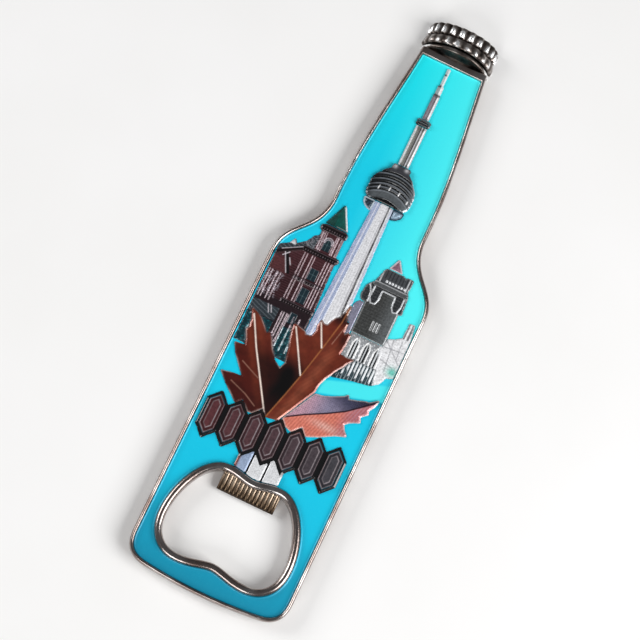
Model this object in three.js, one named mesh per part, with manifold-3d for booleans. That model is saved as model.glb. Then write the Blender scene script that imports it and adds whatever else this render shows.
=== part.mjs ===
// A souvenir bottle opener in the shape of a long-necked bottle: a flat-backed zinc casting with a
// raised rim, an opener hole with a fluted lip, a fluted crown at the mouth, and a relief picture of a
// skyline and a leaf bonded on a recessed panel. Two disc magnets sit in the back.
//
// Frame: millimetres. The opener lies on its back: +Z is up out of the picture, +Y runs from the
// bottle's base to its crown, and the origin is the middle of the outline on the back face.

import * as THREE from "three";
import { ConvexGeometry } from "three/addons/geometries/ConvexGeometry.js";
import { mergeVertices } from "three/addons/utils/BufferGeometryUtils.js";
import Module from "manifold-3d";

const wasm = await Module();
wasm.setup();

// ---------------------------------------------------------------- driving dimensions

const LENGTH = 140; // base to crown top
const WIDTH = 37.8; // across the straight sides
const NECK_WIDTH = 22.8; // where the shoulder ends
const MOUTH_WIDTH = 16.1; // top of the neck
const NECK_LENGTH = 41;
const SHOULDER_LENGTH = 17;
const HEAD_LENGTH = 7; // collar and crown together
const CORNER_SIZE = 7; // rounded corners of the base
const BASE_BOW = 0.8; // how far the base's middle stands out below its corners

const FLOOR_TOP = 2.3; // height of the recess floor
const RIM_TOP = 3.9;
const RIM_WIDTH = 1;
const MOUTH_BAR = 2; // the rim's width where it crosses the mouth
const RECESS_CHAMFER = 0.6; // at the recess's two corners below the mouth

const PANEL_THICKNESS = 0.8;
const PANEL_CLEARANCE = 0.1; // all round the panel in its recess

const HOLE_SIDE = 4.9; // metal left beside the hole
const HOLE_LENGTH = 20.3; // lobe to lobe
const HOLE_FROM_BASE = 6.2; // from the base to the hole's lowest point
const LOW_WAIST = 1.3; // how far the hole's two waists reach in past its lobes
const HIGH_WAIST = 0.9;
const RING_WIDTH = 1.8; // raised ring round the hole
const RING_TOP = 4.3;

const LIP_WIDTH = 13.4;
const LIP_REACH = 4; // from the hole's top lobes to the lip's edge
const LIP_BOTTOM = 1.1;
const LIP_THICKNESS = 2;
const LIP_COVER = 0.5; // casting left between the lip's root and the ring's outer edge
const LIP_FLUTES = 14;
const FLUTE_DEPTH = 0.32;
const LIP_CLEARANCE = 0.15;

const COLLAR_LENGTH = 1.9;
const COLLAR_ROUND = 0.93; // the collar's ends, as a share of its middle
const COLLAR_STEP = 0.4; // how far the collar stands out past the mouth on each side
const COLLAR_HEIGHT = 6.2; // above the back face
const CROWN_STEP = 0.75;
const CROWN_HEIGHT = 7;
const CROWN_FLUTES = 22; // round a full turn; the flat back cuts half of them off
const CROWN_FLUTE_DEPTH = 0.5;
const SKIRT_LENGTH = 2.1; // the crown's flared skirt, up to the groove above it
const GROOVE_LENGTH = 0.5;
const GROOVE_SHARE = 0.9; // the crown's size in the groove, as a share of its size at the skirt
const BAND_SHARE = 0.965; // the same above the groove
const TOP_SHARE = 0.9; // the same at its rounded top
const TOP_ROUND = 0.9; // length of the crown's rounded top edge

const MAGNET_DIAMETER = 14;
const MAGNET_THICKNESS = 1.4;
const MAGNET_SINK = 0.1; // the magnets' faces lie this far inside the back face
const MAGNET_CLEARANCE = 0.15;
const MAGNET_ABOVE_RING = 13.7; // from the ring's highest point to the lower magnet's middle
const MAGNET_BELOW_NECK = 4; // from the neck's start to the upper magnet's middle

const BUILDING_RELIEF = 0.6; // heights above the panel
const TOWER_RELIEF = 0.7;
const POD_RELIEF = 1.1;
const LEAF_RELIEF = 0.75;
const BACKING_RELIEF = 0.5;
const STUD_RELIEF = 0.8; // above the backing
const LEG_RELIEF = 0.3; // above the backing

const STUDS = 7;
const STUD_SPACE = 0.92; // between neighbouring studs
const STUD_LENGTH = 9.7;
const STUD_POINT = 1.9; // length of each pointed end
const STUD_SIDE = 0.3; // height of a stud's upright sides, below its sloping faces
const BACKING_MARGIN = 0.6; // how far the backing shows beside the studs
const BACKING_POINT = 0.72; // and past their points
const FRIEZE_X = -0.35; // the picture's axis is a little left of the bottle's
const FRIEZE_SIDE = 1.25; // panel left beside the frieze
const FRIEZE_ABOVE_RING = 8.1; // from the ring's highest point to the middle of the frieze

const INLAY_GAP = 0.3; // between neighbouring pieces of the picture
const PICTURE_MARGIN = 0.15; // between the picture and the panel's own edge

// ---------------------------------------------------------------- places worked out from them

const BASE_Y = -LENGTH / 2;
const CROWN_TOP_Y = LENGTH / 2;
const MOUTH_Y = CROWN_TOP_Y - HEAD_LENGTH;
const NECK_Y = MOUTH_Y - NECK_LENGTH;
const SHOULDER_Y = NECK_Y - SHOULDER_LENGTH;
const PANEL_TOP = FLOOR_TOP + PANEL_THICKNESS;
const RECESS_END_Y = MOUTH_Y - MOUTH_BAR;
const HOLE_BOTTOM_Y = BASE_Y + HOLE_FROM_BASE;
const HOLE_TOP_Y = HOLE_BOTTOM_Y + HOLE_LENGTH;
const RING_TOP_Y = HOLE_TOP_Y + RING_WIDTH;
const FRIEZE_Y = RING_TOP_Y + FRIEZE_ABOVE_RING;
const MAGNET_Y = [RING_TOP_Y + MAGNET_ABOVE_RING, NECK_Y - MAGNET_BELOW_NECK];
const HOLE_WIDTH = WIDTH - 2 * HOLE_SIDE;
const COLLAR_WIDTH = MOUTH_WIDTH + 2 * COLLAR_STEP;
const CROWN_WIDTH = MOUTH_WIDTH + 2 * CROWN_STEP;
const PANEL_HALF = WIDTH / 2 - RIM_WIDTH - PANEL_CLEARANCE;
const STUD_PITCH = (2 * (PANEL_HALF - FRIEZE_SIDE)) / STUDS;
const STUD_WIDTH = STUD_PITCH - STUD_SPACE;

// ---------------------------------------------------------------- materials

const finish = (color, roughness, metalness) =>
  new THREE.MeshStandardMaterial({ color, roughness, metalness });
const MATERIALS = {
  nickel: finish("#b3aaa4", 0.22, 1),
  bronze: finish("#a58c66", 0.35, 1),
  enamel: finish("#19bfe0", 0.25, 0.1),
  silver: finish("#d5d8de", 0.35, 0.8),
  gunmetal: finish("#4b4a4f", 0.35, 0.8),
  brick: finish("#4a3036", 0.45, 0.6),
  patina: finish("#1d5a58", 0.4, 0.4),
  stone: finish("#55565a", 0.5, 0.6),
  copper: finish("#6b2416", 0.28, 0.8),
  salmon: finish("#c98478", 0.35, 0.7),
  black: finish("#0d0b0e", 0.4, 0.1),
  ferrite: finish("#2a2a2c", 0.7, 0.2),
};

// ---------------------------------------------------------------- solids

// A closed geometry as a solid that can be joined and cut.
function solidOf(geometry) {
  const bare = new THREE.BufferGeometry();
  bare.setAttribute("position", geometry.getAttribute("position"));
  if (geometry.index) bare.setIndex(geometry.index);
  const merged = mergeVertices(bare, 1e-4);
  return new wasm.Manifold(
    new wasm.Mesh({
      numProp: 3,
      vertProperties: merged.attributes.position.array,
      triVerts: new Uint32Array(merged.index.array),
    }),
  );
}

// A solid's surface as a geometry for a mesh.
function geometryOf(solid) {
  const made = solid.getMesh();
  const places = new Float32Array(made.numVert * 3);
  for (let i = 0; i < made.numVert; i++)
    places.set(made.vertProperties.subarray(i * made.numProp, i * made.numProp + 3), i * 3);
  const geometry = new THREE.BufferGeometry();
  geometry.setAttribute("position", new THREE.BufferAttribute(places, 3));
  geometry.setIndex(new THREE.BufferAttribute(new Uint32Array(made.triVerts), 1));
  geometry.computeVertexNormals();
  return geometry;
}

// A flat outline, as a list of points, raised from one height to another.
function raised(points, bottom, top) {
  const shape = new THREE.Shape(points);
  const geometry = new THREE.ExtrudeGeometry(shape, { depth: top - bottom, bevelEnabled: false });
  return solidOf(geometry.translate(0, 0, bottom));
}

// An outline across the bottle, given as points (x, z) that run anticlockwise as seen from the base,
// carried along Y through stations [y, share], each with the outline at that share of its size.
function carried(points, stations) {
  const count = points.length;
  const places = stations.flatMap(([y, share]) => points.flatMap((p) => [p.x * share, y, p.y * share]));
  const faces = [];
  for (let s = 0; s + 1 < stations.length; s++)
    for (let i = 0; i < count; i++) {
      const near = s * count;
      const far = near + count;
      const next = (i + 1) % count;
      faces.push(near + i, far + next, near + next, near + i, far + i, far + next);
    }
  const last = (stations.length - 1) * count;
  for (const [a, b, c] of THREE.ShapeUtils.triangulateShape(points, [])) {
    faces.push(a, b, c);
    faces.push(last + a, last + c, last + b);
  }
  const geometry = new THREE.BufferGeometry();
  geometry.setAttribute("position", new THREE.Float32BufferAttribute(places, 3));
  geometry.setIndex(faces);
  return solidOf(geometry);
}

function box(x0, y0, z0, x1, y1, z1) {
  const geometry = new THREE.BoxGeometry(x1 - x0, y1 - y0, z1 - z0);
  return solidOf(geometry.translate((x0 + x1) / 2, (y0 + y1) / 2, (z0 + z1) / 2));
}

function disc(diameter, y, bottom, top) {
  const geometry = new THREE.CylinderGeometry(diameter / 2, diameter / 2, top - bottom, 48);
  return solidOf(geometry.rotateX(Math.PI / 2).translate(0, y, (top + bottom) / 2));
}

// A solid swollen sideways by a gap, as the union of copies moved round a circle.
function grown(solid, gap) {
  const steps = 12;
  let all = solid;
  for (let i = 0; i < steps; i++) {
    const turn = (2 * Math.PI * i) / steps;
    all = all.add(solid.translate([gap * Math.cos(turn), gap * Math.sin(turn), 0]));
  }
  return all;
}

// A solid's largest separate body.
function largest(solid) {
  return solid.decompose().reduce((a, b) => (b.volume() > a.volume() ? b : a));
}

// ---------------------------------------------------------------- outlines

const point = (x, y) => new THREE.Vector2(x, y);
const mirrored = (points) => points.map((p) => point(-p.x, p.y));

// A closed outline moved sideways by a distance, outwards where it is positive. The points run
// anticlockwise.
function offset(points, distance) {
  const count = points.length;
  return points.map((p, i) => {
    const before = points[(i + count - 1) % count];
    const after = points[(i + 1) % count];
    const along = after.clone().sub(before).normalize();
    return point(p.x + along.y * distance, p.y - along.x * distance);
  });
}

// The right half of a symmetric outline, from its lowest point on the centre line to its highest,
// closed by its mirror image.
function closed(half) {
  const inner = half.slice(1, -1);
  const bottom = Math.abs(half[0].x) < 1e-6 ? [half[0]] : [half[0], mirrored([half[0]])[0]];
  const last = half[half.length - 1];
  const top = Math.abs(last.x) < 1e-6 ? [last] : [last, mirrored([last])[0]];
  const left = mirrored(inner).reverse();
  return bottom.length === 1
    ? [...bottom, ...inner, ...top, ...left]
    : [bottom[0], ...inner, ...top, ...left, bottom[1]];
}

// The bottle's outline: a bowed base, round corners, straight sides, an S-shaped shoulder and a
// gently swelling neck.
function bottleOutline() {
  const side = WIDTH / 2;
  const neck = NECK_WIDTH / 2;
  const mouth = MOUTH_WIDTH / 2;
  const cornerX = side - 0.8 * CORNER_SIZE;
  const cornerY = BASE_Y + BASE_BOW;
  const path = new THREE.Path();
  path.moveTo(0, BASE_Y);
  path.quadraticCurveTo(cornerX / 2, BASE_Y, cornerX, cornerY);
  path.bezierCurveTo(
    cornerX + 0.5 * CORNER_SIZE,
    cornerY + 0.5 * BASE_BOW,
    side,
    BASE_Y + 0.4 * CORNER_SIZE,
    side,
    BASE_Y + CORNER_SIZE,
  );
  path.lineTo(side, SHOULDER_Y);
  const bend = SHOULDER_Y + 0.47 * SHOULDER_LENGTH;
  path.bezierCurveTo(side, bend, neck, bend, neck, NECK_Y);
  path.bezierCurveTo(
    neck + 0.3,
    NECK_Y + 0.34 * NECK_LENGTH,
    mouth + 1.4,
    NECK_Y + 0.64 * NECK_LENGTH,
    mouth,
    MOUTH_Y,
  );
  return path.getPoints(16);
}

// The recess or the panel in it: the bottle's outline moved in, and cut off square below the mouth.
function innerOutline(inset, endY) {
  const whole = closed(bottleOutline());
  const moved = offset(whole, -inset).filter((p) => p.x >= 0 && p.y < endY - 2 * RECESS_CHAMFER);
  const right = moved.filter((p, i) => i === 0 || p.distanceTo(moved[i - 1]) > 1e-3);
  right.sort((a, b) => a.y - b.y || a.x - b.x);
  const last = right[right.length - 1];
  const before = right[right.length - 2];
  const slope = (last.x - before.x) / (last.y - before.y);
  const edge = last.x + slope * (endY - RECESS_CHAMFER - last.y);
  return closed([
    ...right,
    point(edge, endY - RECESS_CHAMFER),
    point(edge - RECESS_CHAMFER, endY),
  ]);
}

// The opener hole: two lobes above, two wider lobes below, and a waist at top and bottom.
function holeOutline() {
  const side = HOLE_WIDTH / 2;
  const low = HOLE_BOTTOM_Y;
  const high = HOLE_TOP_Y;
  const widestY = low + 0.34 * HOLE_LENGTH;
  const lowLobe = 0.57 * side;
  const highLobe = 0.44 * side;
  const path = new THREE.Path();
  path.moveTo(0, low + LOW_WAIST);
  path.bezierCurveTo(0.16 * side, low + LOW_WAIST, 0.32 * side, low, lowLobe, low);
  path.bezierCurveTo(0.82 * side, low, side, low + 0.11 * HOLE_LENGTH, side, widestY);
  path.bezierCurveTo(side, low + 0.65 * HOLE_LENGTH, 0.73 * side, high, highLobe, high);
  const topWaist = high - HIGH_WAIST;
  path.bezierCurveTo(0.25 * side, high, 0.16 * side, topWaist, 0, topWaist);
  return closed(path.getPoints(14));
}

// ---------------------------------------------------------------- the picture

// The picture was drawn for a panel of this size, and is stretched to the one it lies on: across it,
// and along it from the frieze's middle to the recess's end.
const DRAWN = { half: 17.8, frieze: -33.6, top: 62.2 };

const placeX = (x) => (x * PANEL_HALF) / DRAWN.half;
const placeY = (y) =>
  FRIEZE_Y + ((y - DRAWN.frieze) * (RECESS_END_Y - FRIEZE_Y)) / (DRAWN.top - DRAWN.frieze);
const drawn = (pairs) => pairs.map(([x, y]) => point(placeX(x), placeY(y)));

// A piece of the tower: half widths at heights, to the left and right of the tower's own axis, or to
// one side of it only.
const TOWER_X = FRIEZE_X;
function turned(steps, leftShare = 1, rightShare = 1) {
  const right = steps.map(([half, y]) => [TOWER_X + rightShare * half, y]);
  const left = steps.map(([half, y]) => [TOWER_X - leftShare * half, y]).reverse();
  const outline = drawn([...right, ...left]);
  return outline.filter((p, i) => p.distanceTo(outline.at(i - 1)) > 1e-6);
}

const MAST = [
  [0.8, 48.3], [0.8, 54.6], [0.55, 54.6], [0.55, 57], [0.4, 57], [0.4, 60], [0.28, 60], [0.28, 61.5],
];
const MAST_COLLAR = [[1.2, 46.5], [1.65, 46.9], [1.65, 47.6], [1.2, 48]];
const TOWER_NECK = [[1.3, 36.1], [1.3, 46.2]];
const POD = [
  [4.3, 26.2], [5, 27], [5.25, 28.2], [5.25, 30.2], [4.9, 31.3], [4.1, 32.4], [3.2, 33.6], [2.1, 34.5],
  [2, 35.5], [1.6, 35.8],
];
const POD_RING = [[2.5, 23.6], [3.6, 24], [4.5, 24.8], [4.7, 25.9]];
const SHAFT = [[-3.95, -9], [2.9, -9], [1.7, 25.9], [-2.45, 25.9]];
// The tower's feet below the frieze, as their left and right edges.
const LEGS = {
  tower_leg_left: [-5.4, -2.75],
  tower_leg_middle: [-2.2, 0.95],
  tower_leg_right: [1.5, 4.9],
};

const BRICK_HOUSE = [
  [-17.6, -16.2], [-4.6, -16.2], [-4.3, -3.5], [-4.8, 8.4], [-4.1, 9.2], [-4.3, 9.8], [-5.2, 10],
  [-5.2, 14.6], [-4.8, 14.9], [-4.8, 15.6], [-5.2, 16.2], [-10.1, 16.2], [-10.9, 15.6], [-10.9, 14.9],
  [-10.2, 14.6], [-10.2, 13.2], [-11.2, 12.6], [-12.2, 10.8], [-14.2, 9.1], [-14.8, 10.1],
  [-15.5, 8.7], [-17.6, 7.4],
];
const HOUSE_ROOF = [[-10.2, 16.5], [-5.2, 16.5], [-7.9, 21.8], [-8.1, 21.8]];
const STONE_TOWER = [
  [5.1, -3.4], [12.7, -3.4], [12.7, 4.6], [13.4, 4.8], [13.3, 6.5], [13.1, 9], [12.6, 9.8], [12.7, 12.9],
  [11.4, 12.9], [11.1, 12.4], [10.3, 13], [6.6, 13], [6.1, 12.4], [5.6, 10.6], [5.2, 9.3], [3.8, 7.6],
  [3.5, 5.2], [4, 4.3], [5.1, 4.1],
];
const STONE_ROOF = [[6.9, 13.3], [9.7, 13.3], [8.15, 15.8], [7.95, 15.8]];
const STONE_HALL = [
  [5.1, -14.6], [6.2, -14.2], [9.5, -13.4], [13.8, -12.6], [15.4, -11.4], [16.2, -9.6], [17.6, -9],
  [17.6, 0.6], [17.1, 3.8], [16.2, 3.7], [16, 0], [14.6, -1], [13.2, -1.6], [12.9, -3.7], [5.1, -3.7],
];
const STONE_FLANK = [[3, -9], [4.8, -9], [4.8, 3.8], [4.1, 3.8], [3.5, 3.2], [3, 2.1]];

const LEAF_NOTCH = [3.5, -19.4];
const LEAF_STALK = [-1.2, -28.6];
const LEAF = [
  LEAF_STALK, LEAF_NOTCH, [3.7, -17.5], [4.4, -15.5], [5.2, -14.2], [5.8, -12.9], [6.8, -11.5],
  [7.2, -10.6], [8.4, -9.1], [6.6, -9.4], [4.9, -9.3], [5.2, -7], [5.3, -4.3], [4.6, -4.2], [4.1, -4.8],
  [3.8, -4.5], [3.7, -1.9], [3.3, -2.1], [2.9, -0.8], [2.9, 0.6], [2.65, 2], [2.3, 0.6], [2.15, -0.3],
  [1.7, -0.9], [1.6, -1.7], [0.8, -2.3], [0.2, -3.4], [-0.2, -4.6], [-1, -4.7], [-1.9, -4.1],
  [-2.2, -5.6], [-1.9, -6.8], [-2.4, -8.4], [-3.7, -8.6], [-4.1, -8], [-6.9, -7.4], [-6.8, -8.8],
  [-6.4, -10.6], [-5.7, -12.9], [-5, -16.4], [-5.6, -17.9], [-7.4, -16.8], [-8.9, -14.8], [-10, -12.8],
  [-10.9, -11.7], [-11.6, -12.2], [-12.9, -10.6], [-14.2, -9.4], [-16.7, -8.2], [-15.7, -10.6],
  [-15.5, -12.4], [-15.9, -13.2], [-15, -15], [-14.6, -16.6], [-16.9, -16.9], [-15.7, -19],
  [-13.7, -21.4], [-12.1, -23.2], [-14.4, -23.4], [-16.9, -23.9], [-15.1, -25.7], [-12, -28.3],
  [-10, -30],
];
const SIDE_LOBE = [
  [-0.7, -28.5], [4, -30], [8.6, -27.9], [11.5, -26.2], [13.9, -25.3], [12.9, -24.3], [12.3, -23.1],
  [13.2, -22.2], [15.3, -21.2], [14.8, -20], [16.2, -18.8], [15.9, -18], [16.8, -16.5], [17.2, -14.9],
  [15.4, -16.3], [14.2, -16.5], [13.2, -16.9], [11, -17.6], [10.5, -16.7], [9.9, -17.4], [7.6, -18.6],
  [5.6, -19.4], [3.9, -19.7],
];

// One pointed stud, or the backing's share behind it, swollen beside and past the stud.
function studOutline(x, y, beside, past) {
  const half = STUD_WIDTH / 2 + beside;
  const end = STUD_LENGTH / 2 + past;
  const side = STUD_LENGTH / 2 - STUD_POINT;
  return [
    point(x, y - end),
    point(x + half, y - side),
    point(x + half, y + side),
    point(x, y + end),
    point(x - half, y + side),
    point(x - half, y - side),
  ];
}

const studX = (i) => placeX(FRIEZE_X) + (i - (STUDS - 1) / 2) * STUD_PITCH;

// ---------------------------------------------------------------- pieces

const opener = new THREE.Group();

function piece(name, solid, material) {
  const mesh = new THREE.Mesh(geometryOf(solid), material);
  mesh.name = name;
  opener.add(mesh);
}

const hole = holeOutline();
const ring = offset(hole, RING_WIDTH);

// The lip insert's flat plate, or its pocket when given a clearance.
const lipEdgeY = HOLE_TOP_Y - LIP_REACH;
const lipRootY = RING_TOP_Y - HIGH_WAIST - LIP_COVER;
function lipBlank(clearance) {
  return box(
    -LIP_WIDTH / 2 - clearance,
    lipEdgeY,
    LIP_BOTTOM - clearance,
    LIP_WIDTH / 2 + clearance,
    lipRootY + clearance,
    LIP_BOTTOM + LIP_THICKNESS + clearance,
  );
}

function bottleBody() {
  let body = raised(closed(bottleOutline()), 0, RIM_TOP);
  const recess = raised(innerOutline(RIM_WIDTH, RECESS_END_Y), FLOOR_TOP, RIM_TOP + 1);
  body = body.subtract(recess);
  body = body.add(raised(ring, FLOOR_TOP / 2, RING_TOP));
  body = body.subtract(raised(hole, -1, RING_TOP + 1));
  body = body.subtract(lipBlank(LIP_CLEARANCE));
  for (const y of MAGNET_Y)
    body = body.subtract(
      disc(
        MAGNET_DIAMETER + 2 * MAGNET_CLEARANCE,
        y,
        -1,
        MAGNET_SINK + MAGNET_THICKNESS + MAGNET_CLEARANCE,
      ),
    );
  return body;
}

// The lip that hooks under a crown cork: a plate whose upper face is fluted towards its free edge.
function lip() {
  const half = LIP_WIDTH / 2;
  const top = LIP_BOTTOM + LIP_THICKNESS;
  const steps = 6 * LIP_FLUTES;
  const outline = [point(-half, LIP_BOTTOM), point(half, LIP_BOTTOM)];
  for (let i = 0; i <= steps; i++) {
    const dip = (FLUTE_DEPTH * (1 - Math.cos((2 * Math.PI * LIP_FLUTES * i) / steps))) / 2;
    outline.push(point(half - (i * LIP_WIDTH) / steps, top - dip));
  }
  return carried(outline, [
    [lipEdgeY, 1],
    [lipRootY, 1],
  ]);
}

// Half an ellipse standing on the back face, with or without flutes.
function arch(width, height, flutes, depth) {
  const steps = flutes ? flutes * 4 : 40;
  const points = [];
  for (let i = 0; i <= steps; i++) {
    const turn = (Math.PI * i) / steps;
    const in_ = flutes ? (depth * (1 - Math.cos(flutes * turn))) / 2 : 0;
    points.push(point((width / 2 - in_) * Math.cos(turn), (height - in_) * Math.sin(turn)));
  }
  return points;
}

function neckCollar() {
  return carried(arch(COLLAR_WIDTH, COLLAR_HEIGHT, 0, 0), [
    [MOUTH_Y, COLLAR_ROUND],
    [MOUTH_Y + COLLAR_LENGTH / 4, 1],
    [MOUTH_Y + (3 * COLLAR_LENGTH) / 4, 1],
    [MOUTH_Y + COLLAR_LENGTH, COLLAR_ROUND],
  ]);
}

function crown() {
  const start = MOUTH_Y + COLLAR_LENGTH;
  const groove = start + SKIRT_LENGTH;
  return carried(arch(CROWN_WIDTH, CROWN_HEIGHT, CROWN_FLUTES, CROWN_FLUTE_DEPTH), [
    [start, 1],
    [groove, BAND_SHARE],
    [groove, GROOVE_SHARE],
    [groove + GROOVE_LENGTH, GROOVE_SHARE],
    [groove + GROOVE_LENGTH, BAND_SHARE],
    [CROWN_TOP_Y - TOP_ROUND, BAND_SHARE],
    [CROWN_TOP_Y - TOP_ROUND / 3, (3 * BAND_SHARE + TOP_SHARE) / 4],
    [CROWN_TOP_Y, TOP_SHARE],
  ]);
}

const panelOutline = innerOutline(RIM_WIDTH + PANEL_CLEARANCE, RECESS_END_Y - PANEL_CLEARANCE);
const ringSeat = offset(hole, RING_WIDTH + PANEL_CLEARANCE);
const highest = RIM_TOP + RING_TOP; // above every piece of the picture

// Where the picture may lie: inside the panel's edge and clear of the ring.
const canvas = raised(
  innerOutline(
    RIM_WIDTH + PANEL_CLEARANCE + PICTURE_MARGIN,
    RECESS_END_Y - PANEL_CLEARANCE - PICTURE_MARGIN,
  ),
  0,
  highest,
).subtract(raised(offset(hole, RING_WIDTH + PANEL_CLEARANCE + PICTURE_MARGIN), -1, highest + 1));

// A picture piece's plan, taller than the piece itself: an outline trimmed to the canvas and cut back
// from what lies over it.
function plan(outline, ...over) {
  let made = raised(outline, 0, highest).intersect(canvas);
  for (const solid of over) made = made.subtract(solid);
  return largest(made);
}

// A plan cut down to the piece itself, which starts at some height above the panel.
function settled(solid, start, relief) {
  const bottom = PANEL_TOP + start;
  return solid.intersect(box(-WIDTH, -LENGTH, bottom, WIDTH, LENGTH, bottom + relief));
}

// The plan of the dark plate behind the studs: one pointed piece behind each, joined by a bar.
function friezePlan() {
  const half = STUD_LENGTH / 2 - STUD_POINT;
  const left = studX(0);
  const right = studX(STUDS - 1);
  let made = box(left, FRIEZE_Y - half, 0, right, FRIEZE_Y + half, highest);
  for (let i = 0; i < STUDS; i++)
    made = made.add(raised(studOutline(studX(i), FRIEZE_Y, BACKING_MARGIN, BACKING_POINT), 0, highest));
  return made.intersect(canvas);
}

// A pointed stud with upright sides and faces that slope up to a ridge along its middle.
function stud(x) {
  const bottom = PANEL_TOP + BACKING_RELIEF;
  const ridge = STUD_LENGTH / 2 - STUD_POINT;
  const corners = studOutline(x, FRIEZE_Y, 0, 0).flatMap((p) => [
    new THREE.Vector3(p.x, p.y, bottom),
    new THREE.Vector3(p.x, p.y, bottom + STUD_SIDE),
  ]);
  for (const end of [-ridge, ridge])
    corners.push(new THREE.Vector3(x, FRIEZE_Y + end, bottom + STUD_RELIEF));
  return solidOf(new ConvexGeometry(corners));
}

// The castings and what is let into them.
piece("bottle_body", bottleBody(), MATERIALS.nickel);
piece("neck_collar", neckCollar(), MATERIALS.nickel);
piece("crown_cap", crown(), MATERIALS.nickel);
piece("opener_lip", lip(), MATERIALS.bronze);
MAGNET_Y.forEach((y, i) =>
  piece(
    ["magnet_lower", "magnet_upper"][i],
    disc(MAGNET_DIAMETER, y, MAGNET_SINK, MAGNET_SINK + MAGNET_THICKNESS),
    MATERIALS.ferrite,
  ),
);
piece(
  "enamel_panel",
  raised(panelOutline, FLOOR_TOP, PANEL_TOP).subtract(raised(ringSeat, 0, highest)),
  MATERIALS.enamel,
);

// The tower's feet stand on a tongue of the dark plate that runs down to the ring.
const footLow = HOLE_TOP_Y - HIGH_WAIST;
const footPlan = (left, right) =>
  box(placeX(left), footLow, 0, placeX(right), FRIEZE_Y, highest).intersect(canvas);

// The picture, from the front layer to the back one.
const frieze = friezePlan();
const aroundFrieze = grown(frieze, INLAY_GAP);
const tongue = footPlan(LEGS.tower_leg_left[0], LEGS.tower_leg_right[1]);
piece("frieze_backing", settled(frieze.add(tongue), 0, BACKING_RELIEF), MATERIALS.black);
for (const [name, [left, right]] of Object.entries(LEGS)) {
  const foot = largest(footPlan(left, right).subtract(aroundFrieze));
  piece(name, settled(foot, BACKING_RELIEF, LEG_RELIEF), MATERIALS.silver);
}
for (let i = 0; i < STUDS; i++) piece(`frieze_stud_${i + 1}`, stud(studX(i)), MATERIALS.gunmetal);

const leaf = plan(drawn(LEAF), aroundFrieze);
const lobe = plan(drawn(SIDE_LOBE), aroundFrieze, grown(leaf, INLAY_GAP));
const aroundLeaf = grown(leaf.add(lobe), INLAY_GAP);
piece("leaf_main", settled(leaf, 0, LEAF_RELIEF), MATERIALS.copper);
piece("leaf_side_lobe", settled(lobe, 0, LEAF_RELIEF), MATERIALS.salmon);

const shaft = plan(drawn(SHAFT), aroundLeaf);
piece("tower_shaft", settled(shaft, 0, TOWER_RELIEF), MATERIALS.silver);
const besideShaft = grown(shaft, INLAY_GAP);
const ringPlan = (left, right) => plan(turned(POD_RING, left, right), besideShaft);
piece("pod_ring_left", settled(ringPlan(1, 0), 0, TOWER_RELIEF), MATERIALS.silver);
piece("pod_ring_right", settled(ringPlan(0, 1), 0, TOWER_RELIEF), MATERIALS.silver);
piece("tower_pod", settled(plan(turned(POD)), 0, POD_RELIEF), MATERIALS.gunmetal);
piece("tower_neck", settled(plan(turned(TOWER_NECK)), 0, TOWER_RELIEF), MATERIALS.silver);
piece("mast_collar", settled(plan(turned(MAST_COLLAR)), 0, POD_RELIEF), MATERIALS.gunmetal);
piece("tower_mast", settled(plan(turned(MAST)), 0, TOWER_RELIEF), MATERIALS.silver);

const BUILDINGS = {
  brick_house: [BRICK_HOUSE, MATERIALS.brick],
  house_roof: [HOUSE_ROOF, MATERIALS.patina],
  stone_tower: [STONE_TOWER, MATERIALS.stone],
  stone_roof: [STONE_ROOF, MATERIALS.salmon],
  stone_hall: [STONE_HALL, MATERIALS.silver],
  stone_flank: [STONE_FLANK, MATERIALS.stone],
};
const aroundShaft = aroundLeaf.add(besideShaft);
for (const [name, [outline, material]] of Object.entries(BUILDINGS))
  piece(name, settled(plan(drawn(outline), aroundShaft), 0, BUILDING_RELIEF), material);

export default opener;
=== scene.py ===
import bpy
import numpy as np
import functools
import math
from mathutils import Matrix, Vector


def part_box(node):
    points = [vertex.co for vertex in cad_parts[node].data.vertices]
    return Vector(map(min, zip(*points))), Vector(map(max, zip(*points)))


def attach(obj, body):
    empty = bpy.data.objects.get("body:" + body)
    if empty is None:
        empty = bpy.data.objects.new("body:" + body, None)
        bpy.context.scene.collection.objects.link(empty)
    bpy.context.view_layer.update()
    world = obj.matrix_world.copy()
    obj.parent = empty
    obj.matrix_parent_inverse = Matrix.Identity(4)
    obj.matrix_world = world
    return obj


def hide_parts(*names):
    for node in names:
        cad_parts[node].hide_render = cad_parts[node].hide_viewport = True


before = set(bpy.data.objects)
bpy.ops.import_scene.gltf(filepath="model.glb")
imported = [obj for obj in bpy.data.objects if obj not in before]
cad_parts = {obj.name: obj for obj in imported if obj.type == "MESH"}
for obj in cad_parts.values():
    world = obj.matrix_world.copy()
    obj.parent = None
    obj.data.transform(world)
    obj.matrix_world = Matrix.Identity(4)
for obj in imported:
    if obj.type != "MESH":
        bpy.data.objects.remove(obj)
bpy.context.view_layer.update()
MM = 0.001  # sizes below are in millimetres


# ---- The camera -----------------------------------------------------------------
# It stands over the picture, a hand's width towards the base, and is rolled so that the crown
# points up and to the right.

TILT, ROLL, DISTANCE = math.radians(12), math.radians(25.6), 455
across = np.array([1, 0, 0])
along = np.array([0, math.cos(TILT), math.sin(TILT)])
back = np.array([0, -math.sin(TILT), math.cos(TILT)])
right = math.cos(ROLL) * across + math.sin(ROLL) * along
up = math.cos(ROLL) * along - math.sin(ROLL) * across
camera = bpy.data.objects.new("camera", bpy.data.cameras.new("camera"))
place = np.eye(4)
place[:3] = np.column_stack([right, up, back, back * DISTANCE * MM])
camera.matrix_world = place.T.tolist()
camera.data.lens = 115.5
camera.data.shift_x, camera.data.shift_y = -0.0259, -0.0173
camera.data.clip_start = 0.01
bpy.context.scene.collection.objects.link(camera)
bpy.context.scene.camera = camera


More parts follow.
